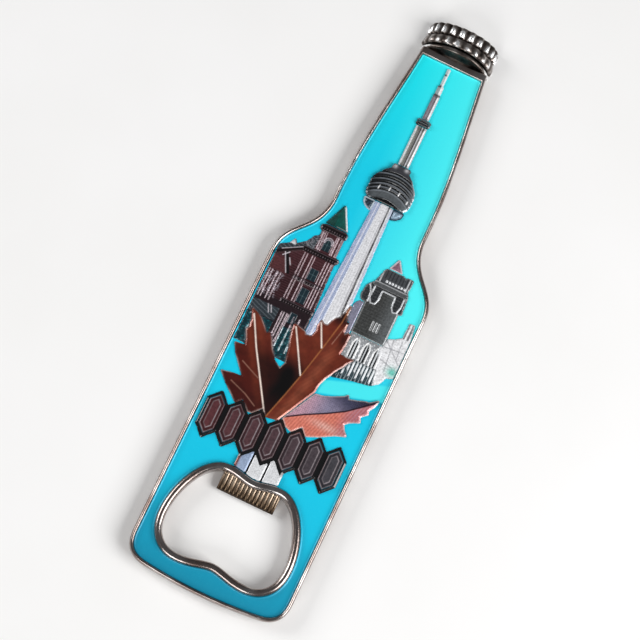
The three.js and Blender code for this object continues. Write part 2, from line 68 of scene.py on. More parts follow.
# ---- The studio -----------------------------------------------------------------
# A pale table, a dim surround, and soft boxes to the right, to the left and beyond the base. The
# space straight above stays dark, so that polished metal has something to show.

def linear(code):
    """A hex colour with the sRGB curve undone: red, green, blue and 1."""
    srgb = np.array([int(code[i:i + 2], 16) for i in (1, 3, 5)]) / 255
    rgb = np.where(srgb <= 0.04045, srgb / 12.92, ((srgb + 0.055) / 1.055) ** 2.4)
    return (*rgb.tolist(), 1.0)


def add(tree, kind, inputs=(), output=0, stops=(), **settings):
    """Adds a shader node with its settings, and gives one of its outputs. An input takes a value, or
    another node's output. The stops of a colour ramp are (position, colour)."""
    made = tree.nodes.new("ShaderNode" + kind)
    for name, value in settings.items():
        setattr(made, name, value)
    for name, value in dict(inputs).items():
        socket = made.inputs[name]
        if isinstance(value, bpy.types.NodeSocket):
            tree.links.new(value, socket)
        else:
            socket.default_value = value
    if stops:
        points = made.color_ramp.elements
        while len(points) < len(stops):
            points.new(0.5)
        for point, (position, code) in zip(points, stops):
            point.position = position
            point.color = linear(code)
    return made.outputs[output] if made.outputs else None


def material(name, look, *sizes):
    """A material. look(node, place, *sizes) gives its shader's inputs, where node adds a node to it and
    place is the piece's own coordinates."""
    made = bpy.data.materials.new(name)
    made.use_nodes = True
    made.node_tree.nodes.clear()
    node = functools.partial(add, made.node_tree)
    shader = node("BsdfPrincipled", look(node, node("TexCoord", output="Object"), *sizes))
    node("OutputMaterial", {"Surface": shader})
    return made


def patches(place, size, detail=3.0, rough=0.5):
    """The inputs of a noise with patches of about this size in millimetres."""
    return {"Vector": place, "Scale": 0.6 / (size * MM), "Detail": detail, "Roughness": rough}


def table_top(node, place):
    """Matt laminate, pale and even, with the faintest mottle."""
    mottle = node("TexNoise", patches(place, 30))
    tone = node("ValToRGB", {"Fac": mottle}, stops=[(0.3, "#F4F3F1"), (0.7, "#F8F7F6")])
    return {"Base Color": tone, "Roughness": 0.6}


bpy.ops.mesh.primitive_plane_add(size=3)
table = bpy.context.object
table.name = "table"
table.data.materials.append(material("table_top", table_top))

surround = bpy.data.worlds.new("surround")
surround.use_nodes = True
sky = surround.node_tree.nodes["Background"].inputs
sky["Color"].default_value, sky["Strength"].default_value = linear("#E9EBF0"), 0.16
bpy.context.scene.world = surround
bpy.context.scene.view_settings.view_transform = "Standard"

SOFT_BOXES = {  # place in metres, size in metres, power in watts
    "right_box": ((0.6, -0.05, 0.5), 0.5, 5.6),
    "left_box": ((-0.65, 0.05, 0.4), 0.35, 2.6),
    "base_box": ((-0.1, -0.75, 0.5), 0.4, 2.4),
}
for name, (spot, size, power) in SOFT_BOXES.items():
    lamp = bpy.data.lights.new(name, "AREA")
    lamp.shape, lamp.size, lamp.energy = "SQUARE", size, power
    box = bpy.data.objects.new(name, lamp)
    box.location = spot
    box.rotation_euler = (-box.location).to_track_quat("-Z", "Y").to_euler()
    bpy.context.scene.collection.objects.link(box)


# ---- The casting ----------------------------------------------------------------
# The body is zinc alloy, die cast in one with its rim and the ring round the opener hole, tumbled
# until every edge is round, and plated with nickel. Two pockets for magnets sit in its flat back.

def path(start, *parts, count=400):
    """Points along cubic curves, each given as (sets out towards, comes in from, ends at). A lone point
    is the end of a straight line, and adds no points along it."""
    t = np.linspace(0, 1, count, endpoint=False)[:, None]
    points, a = [], np.array(start, float)
    for part in parts:
        *handles, d = np.array(part, float).reshape(-1, 2)
        if handles:
            b, c = handles
            points.append((1 - t) ** 3 * a + 3 * (1 - t) ** 2 * t * b + 3 * (1 - t) * t**2 * c + t**3 * d)
        a = d
    return np.vstack([*points, a])


def closed(half):
    """A right-hand half outline joined to its mirror image, anticlockwise."""
    return np.vstack([half, (half[::-1] * (-1, 1))[1:-1]])


def even(loop, count):
    """The same loop with points at even steps along it."""
    ring = np.vstack([loop, loop[:1]])
    run = np.concatenate([[0], np.cumsum(np.linalg.norm(np.diff(ring, axis=0), axis=1))])
    steps = np.linspace(0, run[-1], count, endpoint=False)
    return np.stack([np.interp(steps, run, ring[:, i]) for i in (0, 1)], 1)


def outward(loop):
    """The outward unit normal at each point of an anticlockwise loop."""
    along = np.roll(loop, -1, 0) - np.roll(loop, 1, 0)
    along /= np.linalg.norm(along, axis=1)[:, None]
    return np.stack([along[:, 1], -along[:, 0]], 1)


def faced_out(points, faces):
    """A closed mesh of points in millimetres and quads, with its faces turned outwards."""
    a, b, c, d = points[faces].transpose(1, 0, 2)
    if (a * np.cross(b - a, c - a)).sum() + (a * np.cross(c - a, d - a)).sum() < 0:
        faces = faces[:, ::-1]
    mesh = bpy.data.meshes.new("surface")
    mesh.from_pydata((points * MM).tolist(), [], faces.tolist())
    return mesh


def finished(name, mesh, look, node, angle=40):
    """A piece made of a mesh: smooth but for creases, on the body, in a node's place."""
    mesh.validate()
    mesh.polygons.foreach_set("use_smooth", [True] * len(mesh.polygons))
    mesh.set_sharp_from_angle(angle=math.radians(angle))
    mesh.materials.append(look)
    piece = bpy.data.objects.new(name, mesh)
    bpy.context.scene.collection.objects.link(piece)
    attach(piece, "root")
    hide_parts(node)
    return piece


def woven(rows, caps=()):
    """A mesh of quads between rows of points, in millimetres. Each row is a closed loop. The last row
    joins the first unless end caps are asked for, which close the end rows to their middles."""
    rows = np.asarray(rows, float)
    if caps:
        rows = np.concatenate([caps[0] + 0 * rows[:1], rows, caps[1] + 0 * rows[:1]])
    high, wide = rows.shape[:2]
    ids = np.arange(high * wide).reshape(high, wide)
    near = ids[:-1] if caps else ids
    far = ids[1:] if caps else np.roll(ids, -1, 0)
    quads = np.stack([near, np.roll(near, -1, 1), np.roll(far, -1, 1), far], -1).reshape(-1, 4)
    return faced_out(rows.reshape(-1, 3), quads)


def at(loop, z):
    """A flat loop lifted to a height."""
    return np.column_stack([loop, np.full(len(loop), z)])


def span(node):
    """The low and the high corner of a CAD piece, in millimetres."""
    return [np.array(corner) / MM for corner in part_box(node)]


body_low, body_high = span("bottle_body")
panel_low, panel_high = span("enamel_panel")
SIDE, BASE, MOUTH = body_high[0], body_low[1], body_high[1]
NECK_HALF, NECK_LENGTH, SHOULDER_LENGTH = 11.4, 41, 17
MOUTH_HALF, MOUTH_ROUND = 8.05, 0.4
NECK_Y = MOUTH - NECK_LENGTH
SHOULDER_Y = NECK_Y - SHOULDER_LENGTH
BEND_Y = SHOULDER_Y + 0.47 * SHOULDER_LENGTH
CORNER, BOW = 7, 0.8
CORNER_X = SIDE - 0.8 * CORNER
RIM, RIM_TOP, BAR = 1.0, 3.9, 1.0
RING, RING_TOP = 1.8, body_high[2]
FLOOR = panel_low[2]
BACK_ROUND, RIM_ROUND, RING_ROUND, HOLE_ROUND = 1.1, 0.8, 0.9, 0.5  # heights of the rounded edges

outline = even(closed(path(
    (0, BASE),
    ((CORNER_X / 3, BASE), (2 * CORNER_X / 3, BASE + BOW / 3), (CORNER_X, BASE + BOW)),
    ((CORNER_X + CORNER / 2, BASE + 1.5 * BOW), (SIDE, BASE + 0.4 * CORNER), (SIDE, BASE + CORNER)),
    (SIDE, SHOULDER_Y),
    ((SIDE, BEND_Y), (NECK_HALF, BEND_Y), (NECK_HALF, NECK_Y)),
    ((NECK_HALF + 0.3, NECK_Y + 13.9), (MOUTH_HALF + 1.4, NECK_Y + 26.2), (MOUTH_HALF, MOUTH - MOUTH_ROUND)),
    ((MOUTH_HALF, MOUTH - 0.15), (MOUTH_HALF - 0.15, MOUTH), (MOUTH_HALF - MOUTH_ROUND, MOUTH)),
)), 900)

HOLE_SIDE, HOLE_LOW, HOLE_HIGH = SIDE - 4.9, BASE + 6.2, BASE + 26.5
LOW_WAIST, HIGH_WAIST = HOLE_LOW + 1.3, HOLE_HIGH - 0.9
hole = closed(path(
    (0, LOW_WAIST),
    ((0.16 * HOLE_SIDE, LOW_WAIST), (0.32 * HOLE_SIDE, HOLE_LOW), (0.57 * HOLE_SIDE, HOLE_LOW)),
    ((0.82 * HOLE_SIDE, HOLE_LOW), (HOLE_SIDE, HOLE_LOW + 2.2), (HOLE_SIDE, HOLE_LOW + 6.9)),
    ((HOLE_SIDE, HOLE_LOW + 13.2), (0.73 * HOLE_SIDE, HOLE_HIGH), (0.44 * HOLE_SIDE, HOLE_HIGH)),
    ((0.25 * HOLE_SIDE, HOLE_HIGH), (0.16 * HOLE_SIDE, HIGH_WAIST), (0, HIGH_WAIST)),
))

# Each point of the outline is paired with the point of the hole in the same direction from the
# hole's middle, so that straight lines between the pairs cover the metal and never cross.
middle = np.array([0, (HOLE_LOW + HOLE_HIGH) / 2])
bearing = lambda loop: np.arctan2(loop[:, 0] - middle[0], middle[1] - loop[:, 1])
track = np.hstack([hole, outward(hole)])
paired = [np.interp(bearing(outline), bearing(hole), column, period=2 * math.pi) for column in track.T]
hole, hole_out = np.stack(paired[:2], 1), np.stack(paired[2:], 1)
outline_out = outward(outline)


def rim_loop(inset, z, bar=0):
    """The outline moved inwards, with square corners at the mouth, where the rim is wider by a bar."""
    loop = outline - outline_out * inset
    if inset > MOUTH_ROUND:
        end = MOUTH - inset - bar
        sides = loop[(outline[:, 1] > NECK_Y) & (outline_out[:, 0] > 0.9)]
        half = np.interp(end, sides[:, 1], sides[:, 0])
        top = loop[:, 1] > end - 1e-6
        flat = np.where(outline[:, 1] > MOUTH - 1e-3, outline[:, 0], np.sign(outline[:, 0]) * SIDE)
        loop[top, 0] = np.clip(flat[top], -half, half)
        loop[top, 1] = end
    return at(loop, z)


def ring_loop(offset, z):
    """The hole's outline moved outwards."""
    return at(hole + hole_out * offset, z)


quarter = np.linspace(0, math.pi / 2, 6)
half_turn = np.linspace(0, math.pi, 11)
casting = woven(
    [rim_loop(1.6, 0)]
    + [rim_loop(BACK_ROUND * (1 - math.sin(t)), BACK_ROUND * (1 - math.cos(t))) for t in quarter]
    + [rim_loop(0, z) for z in (1.7, 2.4)]
    + [rim_loop(RIM / 2 * (1 - math.cos(t)), RIM_TOP - RIM_ROUND + RIM_ROUND * math.sin(t), BAR * (i > 5))
       for i, t in enumerate(half_turn)]
    + [rim_loop(RIM, FLOOR, BAR), ring_loop(RING, FLOOR)]
    + [ring_loop(RING / 2 * (1 + math.cos(t)), RING_TOP - RING_ROUND + RING_ROUND * math.sin(t))
       for t in half_turn]
    + [ring_loop(0, z) for z in (2.6, 1.6)]
    + [ring_loop(HOLE_ROUND * (1 - math.cos(t)), HOLE_ROUND * (1 - math.sin(t))) for t in quarter]
)


def lathe(profile, centre, count=96):
    """A round solid about an upright axis: its profile is (radius, height) from below to above."""
    turn = np.linspace(0, 2 * math.pi, count, endpoint=False)
    circle = np.stack([np.cos(turn), np.sin(turn)], 1)
    ends = [np.array([*centre[:2], profile[i][1]]) for i in (0, -1)]
    return woven([at(centre[:2] + r * circle, z) for r, z in profile], ends)


def nickel_plate(node, place):
    """Bright nickel over tumbled zinc: warm grey, softly uneven, brown where handling has dulled it."""
    cloud = node("TexNoise", patches(place, 7, 4, 0.6))
    grain = node("TexNoise", patches(place, 0.5, 5, 0.65))
    ripple = node("TexNoise", patches(place, 1.4, 2))
    tone = node("ValToRGB", {"Fac": cloud}, stops=[(0.32, "#78645C"), (0.5, "#9C908B"), (0.68, "#CCC7C4")])
    soiled = node("ValToRGB", {"Fac": grain}, stops=[(0.3, "#6A6A6A"), (0.5, "#000000")])
    tone = node("Mix", {0: soiled, 6: tone, 7: linear("#4C3A34")}, 2, data_type="RGBA")
    dull = node("MapRange", {"Value": cloud, "From Min": 0.3, "From Max": 0.7, "To Min": 0.3, "To Max": 0.16})
    normal = node("Bump", {"Height": ripple, "Distance": 0.05 * MM})
    normal = node("Bump", {"Height": grain, "Distance": 0.008 * MM, "Normal": normal})
    return {"Base Color": tone, "Roughness": dull, "Normal": normal, "Metallic": 1.0}


body = finished("casting", casting, material("nickel_plate", nickel_plate), "bottle_body")

MAGNETS = "magnet_lower", "magnet_upper"
POCKET_GAP = 0.15
for magnet in MAGNETS:
    low, high = span(magnet)
    radius, depth = (high[0] - low[0]) / 2 + POCKET_GAP, high[2] + POCKET_GAP
    bpy.ops.mesh.primitive_cylinder_add(vertices=96, radius=radius * MM, depth=2 * depth * MM)
    drill = bpy.context.object
    drill.location = (*(low + high)[:2] / 2 * MM, 0)
    cut = body.modifiers.new("pocket", "BOOLEAN")
    cut.object, cut.solver = drill, "FAST"
    whole = bpy.data.meshes.new_from_object(body.evaluated_get(bpy.context.evaluated_depsgraph_get()))
    body.modifiers.clear()
    body.data = whole
    bpy.data.objects.remove(drill)
body.data.set_sharp_from_angle(angle=math.radians(40))


# ---- The magnets ----------------------------------------------------------------
# Two plain ferrite discs are glued into the back. Their edges are ground off and their faces are
# matt, nearly black, with the odd bright chip.

def ferrite(node, place):
    """Sintered ferrite, ground flat: charcoal, matt, with fine pits, drawn coarser so that they show."""
    grain = node("TexNoise", patches(place, 0.3, 6, 0.7))
    tone = node("ValToRGB", {"Fac": grain}, stops=[(0.3, "#1E1E20"), (0.6, "#333336"), (0.75, "#5A5A5E")])
    pits = node("Bump", {"Height": grain, "Distance": 0.03 * MM})
    return {"Base Color": tone, "Normal": pits, "Roughness": 0.62, "Metallic": 0.3}


ground = material("ferrite", ferrite)
for magnet in MAGNETS:
    low, high = span(magnet)
    r, z0, z1 = (high[0] - low[0]) / 2, low[2], high[2]
    profile = [(r - 0.35, z0), (r - 0.1, z0 + 0.1), (r, z0 + 0.35), (r, z1 - 0.2), (r - 0.2, z1)]
    finished(magnet + "_disc", lathe(profile, (low + high) / 2), ground, magnet)


# ---- The collar and the crown ---------------------------------------------------
# The mouth of the bottle: a half-round bead, and over it a crown with a crimped skirt, a groove and
# a crimped band. Both are cast with the body and plated like it. Painted shade darkens their flutes,
# the groove and the cove before the bead, and painted highlights brighten the ridges and the bead.

def arched(stations, width, height, flutes):
    """Half an ellipse standing on the back, carried along Y. A station is (y, share of the size, depth
    of the flutes, bow, light level): the flutes are valleys between round ridges, and the bow carries the
    middle of the row further along than its sides. The attribute it adds is painted light and shade: the
    station's light level, higher on the ridges than in the shaded valleys, with a painted highlight at
    the two ends of a plain row."""
    turn = np.linspace(0, math.pi, 18 * flutes + 1 if flutes else 61)
    valley = (0.5 - 0.5 * np.cos(flutes * turn * 2)) ** 1.2
    rows, wear_and_light = [], []
    for y, share, depth, bow, light_level in stations:
        x = (width / 2 * share - depth * valley) * np.cos(turn)
        z = (height * share - depth * valley) * np.sin(turn)
        under = np.linspace(-1, 1, 20)[1:-1] * width / 2 * share
        xs = np.concatenate([x, under])
        ys = y + bow * (1 - (2 * xs / width) ** 2)
        rows.append(np.column_stack([xs, ys, np.concatenate([z, 0 * under])]))
        # Painted highlight at the two ends of a plain row, and painted shade in the valleys, darker than the
        # ridges.
        ends = 1 + 2 * np.clip(np.abs(2 * x / width) - 0.72, 0, 0.2) / 0.2
        ridges = 1 - 0.7 * valley * (depth > 0)
        wear_and_light.append(np.concatenate([light_level * (ridges if flutes else ends), 0 * under + light_level * (depth == 0)]))
    caps = [np.array([0, rows[i][:, 1].mean(), height * 0.4]) for i in (0, -1)]
    mesh = woven(rows, caps)
    wear_and_light = np.concatenate([wear_and_light[0], *wear_and_light, wear_and_light[-1]]).astype(np.float32)
    mesh.attributes.new("wear_and_light", "FLOAT", "POINT").data.foreach_set("value", wear_and_light)
    return mesh


def nickel_tarnish_and_light(node, place):
    """The same plate, with painted light and shade laid over a random tarnish: where the painted shade
    falls it is nearly black, the painted highlights are bright, and the brightest are white."""
    wear_and_light = node("Attribute", output="Fac", attribute_name="wear_and_light")
    cloud = node("TexNoise", patches(place, 1.6, 4, 0.65))
    ripple = node("TexNoise", patches(place, 1.2, 2))
    level = node("Math", {0: cloud, 1: 0.9, 2: wear_and_light}, operation="MULTIPLY_ADD")
    # The level, random tarnish plus painted light, runs from nearly black painted shade to white painted
    # highlight.
    tone = node("ValToRGB", {"Fac": level}, stops=[
        (0.36, "#0C0A0A"), (0.6, "#4A403B"), (0.8, "#77706B"), (1.0, "#B4ACA8"), (1.0, "#FFFFFF")])
    normal = node("Bump", {"Height": ripple, "Distance": 0.03 * MM})
    return {"Base Color": tone, "Normal": normal, "Roughness": 0.3, "Metallic": 0.85}


tarnish_and_light = material("nickel_tarnish_and_light", nickel_tarnish_and_light)
low, high = span("neck_collar")
bead = np.linspace(0, math.pi, 13)
# The last number of each station is painted light: 0 paints the cove before the bead black as shade, and it
# rises over the bead as a painted highlight.
collar = arched(
    [(MOUTH - 0.4, 0.7, 0, 0.2, 0.3), (MOUTH - 0.38, 0.74, 0, 0.3, 0), (MOUTH - 0.35, 0.8, 0, 0.55, 0)]
    + [(MOUTH + 0.25 - 0.6 * math.cos(t), 0.9 + 0.1 * math.sin(t), 0, 0.9, 0.4 * math.sin(t / 2))
       for t in bead]
    + [(MOUTH + 1.2, 0.84, 0, 0.7, 0)],
    high[0] - low[0], high[2], 0,
)
finished("collar_bead", collar, tarnish_and_light, "neck_collar")

FLUTES = 11  # over the half turn that shows
low, high = span("crown_cap")
y0, y1 = low[1], high[1]
# The last number of each station is painted light: 0 on the skirt's lower edge and in the groove as painted
# shade, high on the crimped band as painted highlights on its ridges.
crown = arched(
    [
        (y0 - 0.6, 0.86, 0.1, 0.7, 0), (y0 - 0.85, 0.93, 0.16, 0.8, 0.2),
        (y0 - 0.75, 0.97, 0.22, 0.8, 0.45), (y0 - 0.3, 1.0, 0.24, 0.8, 0.6),
        (y0 + 0.6, 0.985, 0.2, 0.7, 0.45), (y0 + 1.3, 0.96, 0.14, 0.6, 0.4),
        (y0 + 1.6, 0.9, 0.08, 0.6, 0), (y0 + 1.85, 0.89, 0.08, 0.55, 0),
        (y0 + 2.05, 0.93, 0.4, 0.5, 0.3), (y0 + 2.4, 0.975, 0.8, 0.4, 0.8),
        (y1 - 1.6, 0.975, 0.8, 0.25, 0.8), (y1 - 0.9, 0.96, 0.75, 0.15, 0.4),
        (y1 - 0.5, 0.94, 0.7, 0.1, 0.3), (y1 - 0.2, 0.91, 0.5, 0.05, 0.3),
        (y1 - 0.03, 0.85, 0.2, 0, 0.4), (y1, 0.78, 0, 0, 0.5),
    ],
    high[0] - low[0], high[2], FLUTES,
)
finished("crown_crimped", crown, tarnish_and_light, "crown_cap", angle=60)


# ---- The blue panel -------------------------------------------------------------
# Tinted lacquer poured over a stippled floor: turquoise towards the crown and deep blue at the
# base. It creeps up a little where it meets the rim and the ring.

PANEL = panel_high[2]
PANEL_GAP = 0.02
creep = [(0.0, 0.22), (0.06, 0.12), (0.16, 0.05), (0.4, 0.01), (0.9, 0.0)]
panel = woven(
    [rim_loop(RIM + PANEL_GAP + d, PANEL + rise, BAR) for d, rise in creep]
    + [ring_loop(RING + PANEL_GAP + d, PANEL + rise) for d, rise in creep[::-1]]
    + [ring_loop(RING + PANEL_GAP, FLOOR + PANEL_GAP), rim_loop(RIM + PANEL_GAP, FLOOR + PANEL_GAP, BAR)]
)


def blue_lacquer(node, place):
    """Pearl lacquer under a clear coat: turquoise to blue, brighter towards the right above the leaf and
    in a patch beside it, with long shallow waves in the gloss over a stipple that sparkles. The
    stipple is drawn coarser than it is, so that it shows."""
    x, y = (node("SeparateXYZ", {"Vector": place}, axis) for axis in "XY")
    rise, side, upper, start = (
        node("MapRange", {"Value": value, "From Min": low * MM, "From Max": high * MM})
        for value, low, high in ((y, BASE, MOUTH), (x, -6, 12), (y, -16, 2), (x, 3.6, 4.4)))
    tone = node("ValToRGB", {"Fac": rise}, stops=[
        (0.0, "#0088A8"), (0.06, "#009EC0"), (0.16, "#00C6E8"), (0.3, "#00D2F2"), (0.5, "#00CCEC"),
        (0.75, "#06D2EE"), (1.0, "#14EEF6")])
    glow = node("Math", {0: side, 1: upper}, operation="MULTIPLY")
    # The patch lies between two slanting lines: the foot of the buildings and the top of the leaf.
    foot = node("Math", {0: x, 1: 0.36, 2: -17.6 * MM}, operation="MULTIPLY_ADD")
    crest = node("Math", {0: x, 1: 0.3, 2: -20.6 * MM}, operation="MULTIPLY_ADD")
    under = node("Math", {0: foot, 1: y}, operation="SUBTRACT")
    over = node("Math", {0: y, 1: crest}, operation="SUBTRACT")
    band = node("Math", {0: under, 1: over}, operation="MINIMUM")
    inside = node("MapRange", {"Value": band, "From Min": -0.2 * MM, "From Max": 0.3 * MM})
    patch = node("Math", {0: inside, 1: start}, operation="MULTIPLY")
    fleck = node("TexNoise", patches(place, 0.22, 2))
    glint = node("ValToRGB", {"Fac": fleck}, stops=[(0.5, "#000000"), (0.8, "#3A3A3A")])
    for share, code in ((glow, "#50FCFF"), (patch, "#46F0F8"), (glint, "#50F4FF")):
        tone = node("Mix", {0: share, 6: tone, 7: linear(code)}, 2, data_type="RGBA")
    stipple = node("Bump", {"Height": fleck, "Distance": 0.03 * MM, "Strength": 0.5})
    waves = node("TexNoise", patches(place, 3.5, 2))
    normal = node("Bump", {"Height": waves, "Distance": 0.05 * MM, "Normal": stipple})
    return {"Base Color": tone, "Normal": normal, "Roughness": 0.4, "Metallic": 0.1,
            "Coat Weight": 0.2, "Coat Roughness": 0.15}


finished("lacquer_panel", panel, material("blue_lacquer", blue_lacquer), "enamel_panel")


# ---- The opener lip -------------------------------------------------------------
# A short plate let into the ring, with flutes along it that bite a cap's skirt. It is a yellower
# metal than the casting, brown in the flutes, its ridges bright with wear and painted highlights, and
# its tip darkened by painted shadow.

def edges_of(node):
    """The outline of a flat CAD piece: the edges round its underside, as (start, end) across X and Y."""
    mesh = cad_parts[node].data
    mesh.calc_loop_triangles()
    points = np.zeros(len(mesh.vertices) * 3)
    mesh.vertices.foreach_get("co", points)
    points, ids = np.unique(np.round(points.reshape(-1, 3) / MM, 4), axis=0, return_inverse=True)
    corners = np.zeros(len(mesh.loop_triangles) * 3, int)
    mesh.loop_triangles.foreach_get("vertices", corners)
    faces = ids.reshape(-1)[corners].reshape(-1, 3)
    faces = faces[(points[faces][:, :, 2] < points[:, 2].min() + 1e-3).all(1)]
    pairs = np.sort(np.vstack([faces[:, [0, 1]], faces[:, [1, 2]], faces[:, [2, 0]]]), axis=1)
    pairs, uses = np.unique(pairs, axis=0, return_counts=True)
    return points[pairs[uses == 1]][:, :, :2]


def feet_on(spots, edges):
    """For each spot and each straight edge: the edge's nearest point, and how far off it is."""
    start, run = edges[:, 0], edges[:, 1] - edges[:, 0]
    share = ((spots[:, None] - start) * run).sum(-1) / (run**2).sum(-1)
    foot = start + np.clip(share, 0, 1)[..., None] * run
    return foot, np.linalg.norm(spots[:, None] - foot, axis=-1)


def depth_in(spots, edges):
    """How far each spot lies inside an outline, negative outside it, and the nearest point on it. A
    spot is inside when a line to its right crosses the outline an odd number of times."""
    foot, gap = feet_on(spots, edges)
    nearest = np.arange(len(spots)), gap.argmin(1)
    start, run = edges[:, 0], edges[:, 1] - edges[:, 0]
    y = spots[:, 1:2]
    spans = (start[:, 1] > y) != (edges[:, 1, 1] > y)
    level = np.where(np.abs(run[:, 1]) > 1e-9, run[:, 1], 1)
    crossing = start[:, 0] + (y - start[:, 1]) / level * run[:, 0]
    inside = (spans & (spots[:, :1] < crossing)).sum(1) % 2 == 1
    return np.where(inside, 1, -1) * gap[nearest], foot[nearest]


FRIEZE_Y, STRETCH = -33.6, 95.8 / 94.6  # the art is drawn a little taller than it is printed


def embossed(name, node, step, relief, look, angle=50, spread=0.13):
    """A relief over a CAD piece's own outline. A square grid is kept where it lies inside, and its edge
    is moved onto the outline, or past it by a spread. relief(x, y, depth) gives the top above the CAD
    piece's underside, and its red, green, blue and lustre, kept as the attribute 'paint'; it takes y
    as the art is drawn, and the depth inside the outline."""
    edges = edges_of(node)
    low, high = edges.min((0, 1)), edges.max((0, 1))
    axes = [np.arange(low[i] - step, high[i] + 2 * step, step) for i in (0, 1)]
    spots = np.stack(np.meshgrid(*axes), -1)
    cells = (spots[1:, 1:] + spots[:-1, :-1]) / 2
    kept = np.concatenate([depth_in(row, edges)[0] for row in cells]).reshape(cells.shape[:2]) > 0
    padded = np.pad(kept, 1)
    around = np.stack([padded[:-1, :-1], padded[:-1, 1:], padded[1:, :-1], padded[1:, 1:]])
    used, whole = around.any(0), around.all(0)
    depth = np.zeros(used.shape)
    border = used & ~whole
    inside, foot = depth_in(spots[border], edges)
    away = (foot - spots[border]) * np.sign(inside)[:, None]
    away /= np.maximum(np.linalg.norm(away, axis=1), 1e-2)[:, None]
    spots[border] = foot + away * spread
    depth[whole] = np.concatenate([depth_in(part, edges)[0] for part in np.array_split(spots[whole], 40)])
    x, y = spots[used].T
    base, count = span(node)[0][2], used.sum()
    top, colours = relief(x, FRIEZE_Y + (y - FRIEZE_Y) * STRETCH, depth[used])
    ids = np.full(used.shape, -1)
    ids[used] = np.arange(count)
    corners = np.stack([ids[:-1, :-1], ids[:-1, 1:], ids[1:, 1:], ids[1:, :-1]], -1)
    faces = [corners[kept], corners[kept][:, ::-1] + count]
    for i, (row, column) in enumerate(((0, 1), (1, 2), (2, 1), (1, 0))):
        beside = padded[row:row + len(kept), column:column + kept.shape[1]]
        side = corners[kept & ~beside][:, [(i + 1) % 4, i]]
        faces.append(np.hstack([side, side[:, ::-1] + count]))
    points = np.concatenate([np.column_stack([x, y, base + top]), np.column_stack([x, y, 0 * x + base])])
    mesh = faced_out(points, np.vstack(faces))
    layer = mesh.attributes.new("paint", "FLOAT_COLOR", "POINT")
    layer.data.foreach_set("color", np.vstack([colours, colours]).astype(np.float32).ravel())
    return finished(name, mesh, look, node, angle=angle)


def step_up(value, low, high):
    """0 below low, 1 above high, and smooth between."""
    t = np.clip((value - low) / (high - low), 0, 1)
    return t * t * (3 - 2 * t)


def step_down(value, low, high):
    """1 below low, 0 above high, and smooth between."""
    return 1 - step_up(value, low, high)


def base_coat(x, code, lustre):
    """Every point in one colour, with how metallic it looks."""
    return np.tile([*linear(code)[:3], lustre], (len(x), 1))


def over(coat, mask, other):
    """One coat over another where the mask is 1."""
    return coat + np.clip(mask, 0, 1)[:, None] * (other - coat)


def painted(coat, *layers):
    """Colours laid over a coat in turn. A layer is (mask, colour, lustre)."""
    for mask, code, lustre in layers:
        coat = over(coat, mask, np.array([*linear(code)[:3], lustre]))
    return coat


LIP_FLUTES = 14
lip_low, lip_high = span("opener_lip")


def lip(x, y, depth):
    """The top slopes down to the free edge, and is rounded at the ends. The flutes are a cosine across
    it. Toned brown; the ridges are bright with wear and painted highlights, which differ from ridge to
    ridge and are strongest towards the ring, and painted shadow darkens the tip."""
    flute = np.abs(np.cos(math.pi * LIP_FLUTES * (x - lip_low[0]) / (lip_high[0] - lip_low[0]))) ** 0.8
    reach = np.clip((y - lip_low[1]) / 3.6, 0, 1) ** 0.7
    ridge = step_up(flute, 0.3, 0.95) * (0.65 + 0.35 * np.sin(5.1 * x) * np.sin(2.3 * x + 1))
    # Painted highlights on the ridges, partly wear, strongest towards the ring; painted shadow at the tip.
    coat = painted(
        base_coat(x, "#4E3E32", 1),
        (ridge, "#A48C72", 1),
        (step_up(y, -46.4, -45) * ridge, "#D6C2AC", 1),
        (0.8 * step_up(-y, 46.6, 47.6), "#2E241C", 1),
    )
    return 0.75 + 1.25 * reach - 0.24 * (1 - flute) - 0.3 * step_down(depth, 0, 0.35), coat


def toned_bronze(node, place):
    """Bronze that has been rolled, stamped and handled: the colour comes from the paint attribute, which
    holds wear, painted highlights and painted shadow, with brown stains and fine scratches, both drawn
    coarser than they are."""
    wear_and_light = node("Attribute", output="Color", attribute_name="paint")
    cloud = node("TexNoise", patches(place, 0.6, 4))
    scratches = node("TexNoise", patches(place, 0.25, 3))
    stain = node("ValToRGB", {"Fac": cloud}, stops=[(0.4, "#000000"), (0.7, "#8A8A8A")])
    tone = node("Mix", {0: stain, 6: wear_and_light, 7: linear("#3A2A20")}, 2, data_type="RGBA")
    normal = node("Bump", {"Height": scratches, "Distance": 0.02 * MM})
    return {"Base Color": tone, "Normal": normal, "Roughness": 0.3, "Metallic": 1.0}


embossed("fluted_lip", "opener_lip", 0.09, lip, material("toned_bronze", toned_bronze), 70, 0)


# ---- The frieze -----------------------------------------------------------------
# A row of seven cut studs on a glossy black plate. Their sloping faces are gunmetal, wine red
# towards the left, and painted highlights run along their edges. A tongue of the plate runs down to
# the ring and carries the tower's three feet.

def printed_metal(node, place, rough, coat, grain_size, grain_depth, shade):
    """Embossed foil, printed in metallic inks and sealed: the paint gives its colour and how metallic
    it looks, over the foil's grain, which darkens it down to a shade. The grain is drawn coarser than
    it is, so that it shows."""
    ink, lustre = (node("Attribute", output=part, attribute_name="paint") for part in ("Color", "Alpha"))
    grain = node("TexNoise", patches(place, grain_size, 4, 0.6))
    grainy = node("ValToRGB", {"Fac": grain}, stops=[(0.3, shade), (0.6, "#FFFFFF")])
    tone = node("Mix", {0: 1.0, 6: ink, 7: grainy}, 2, data_type="RGBA", blend_type="MULTIPLY")
    normal = node("Bump", {"Height": grain, "Distance": grain_depth * MM})
    return {"Base Color": tone, "Metallic": lustre, "Normal": normal, "Roughness": rough,
            "Coat Weight": coat, "Coat Roughness": 0.12}


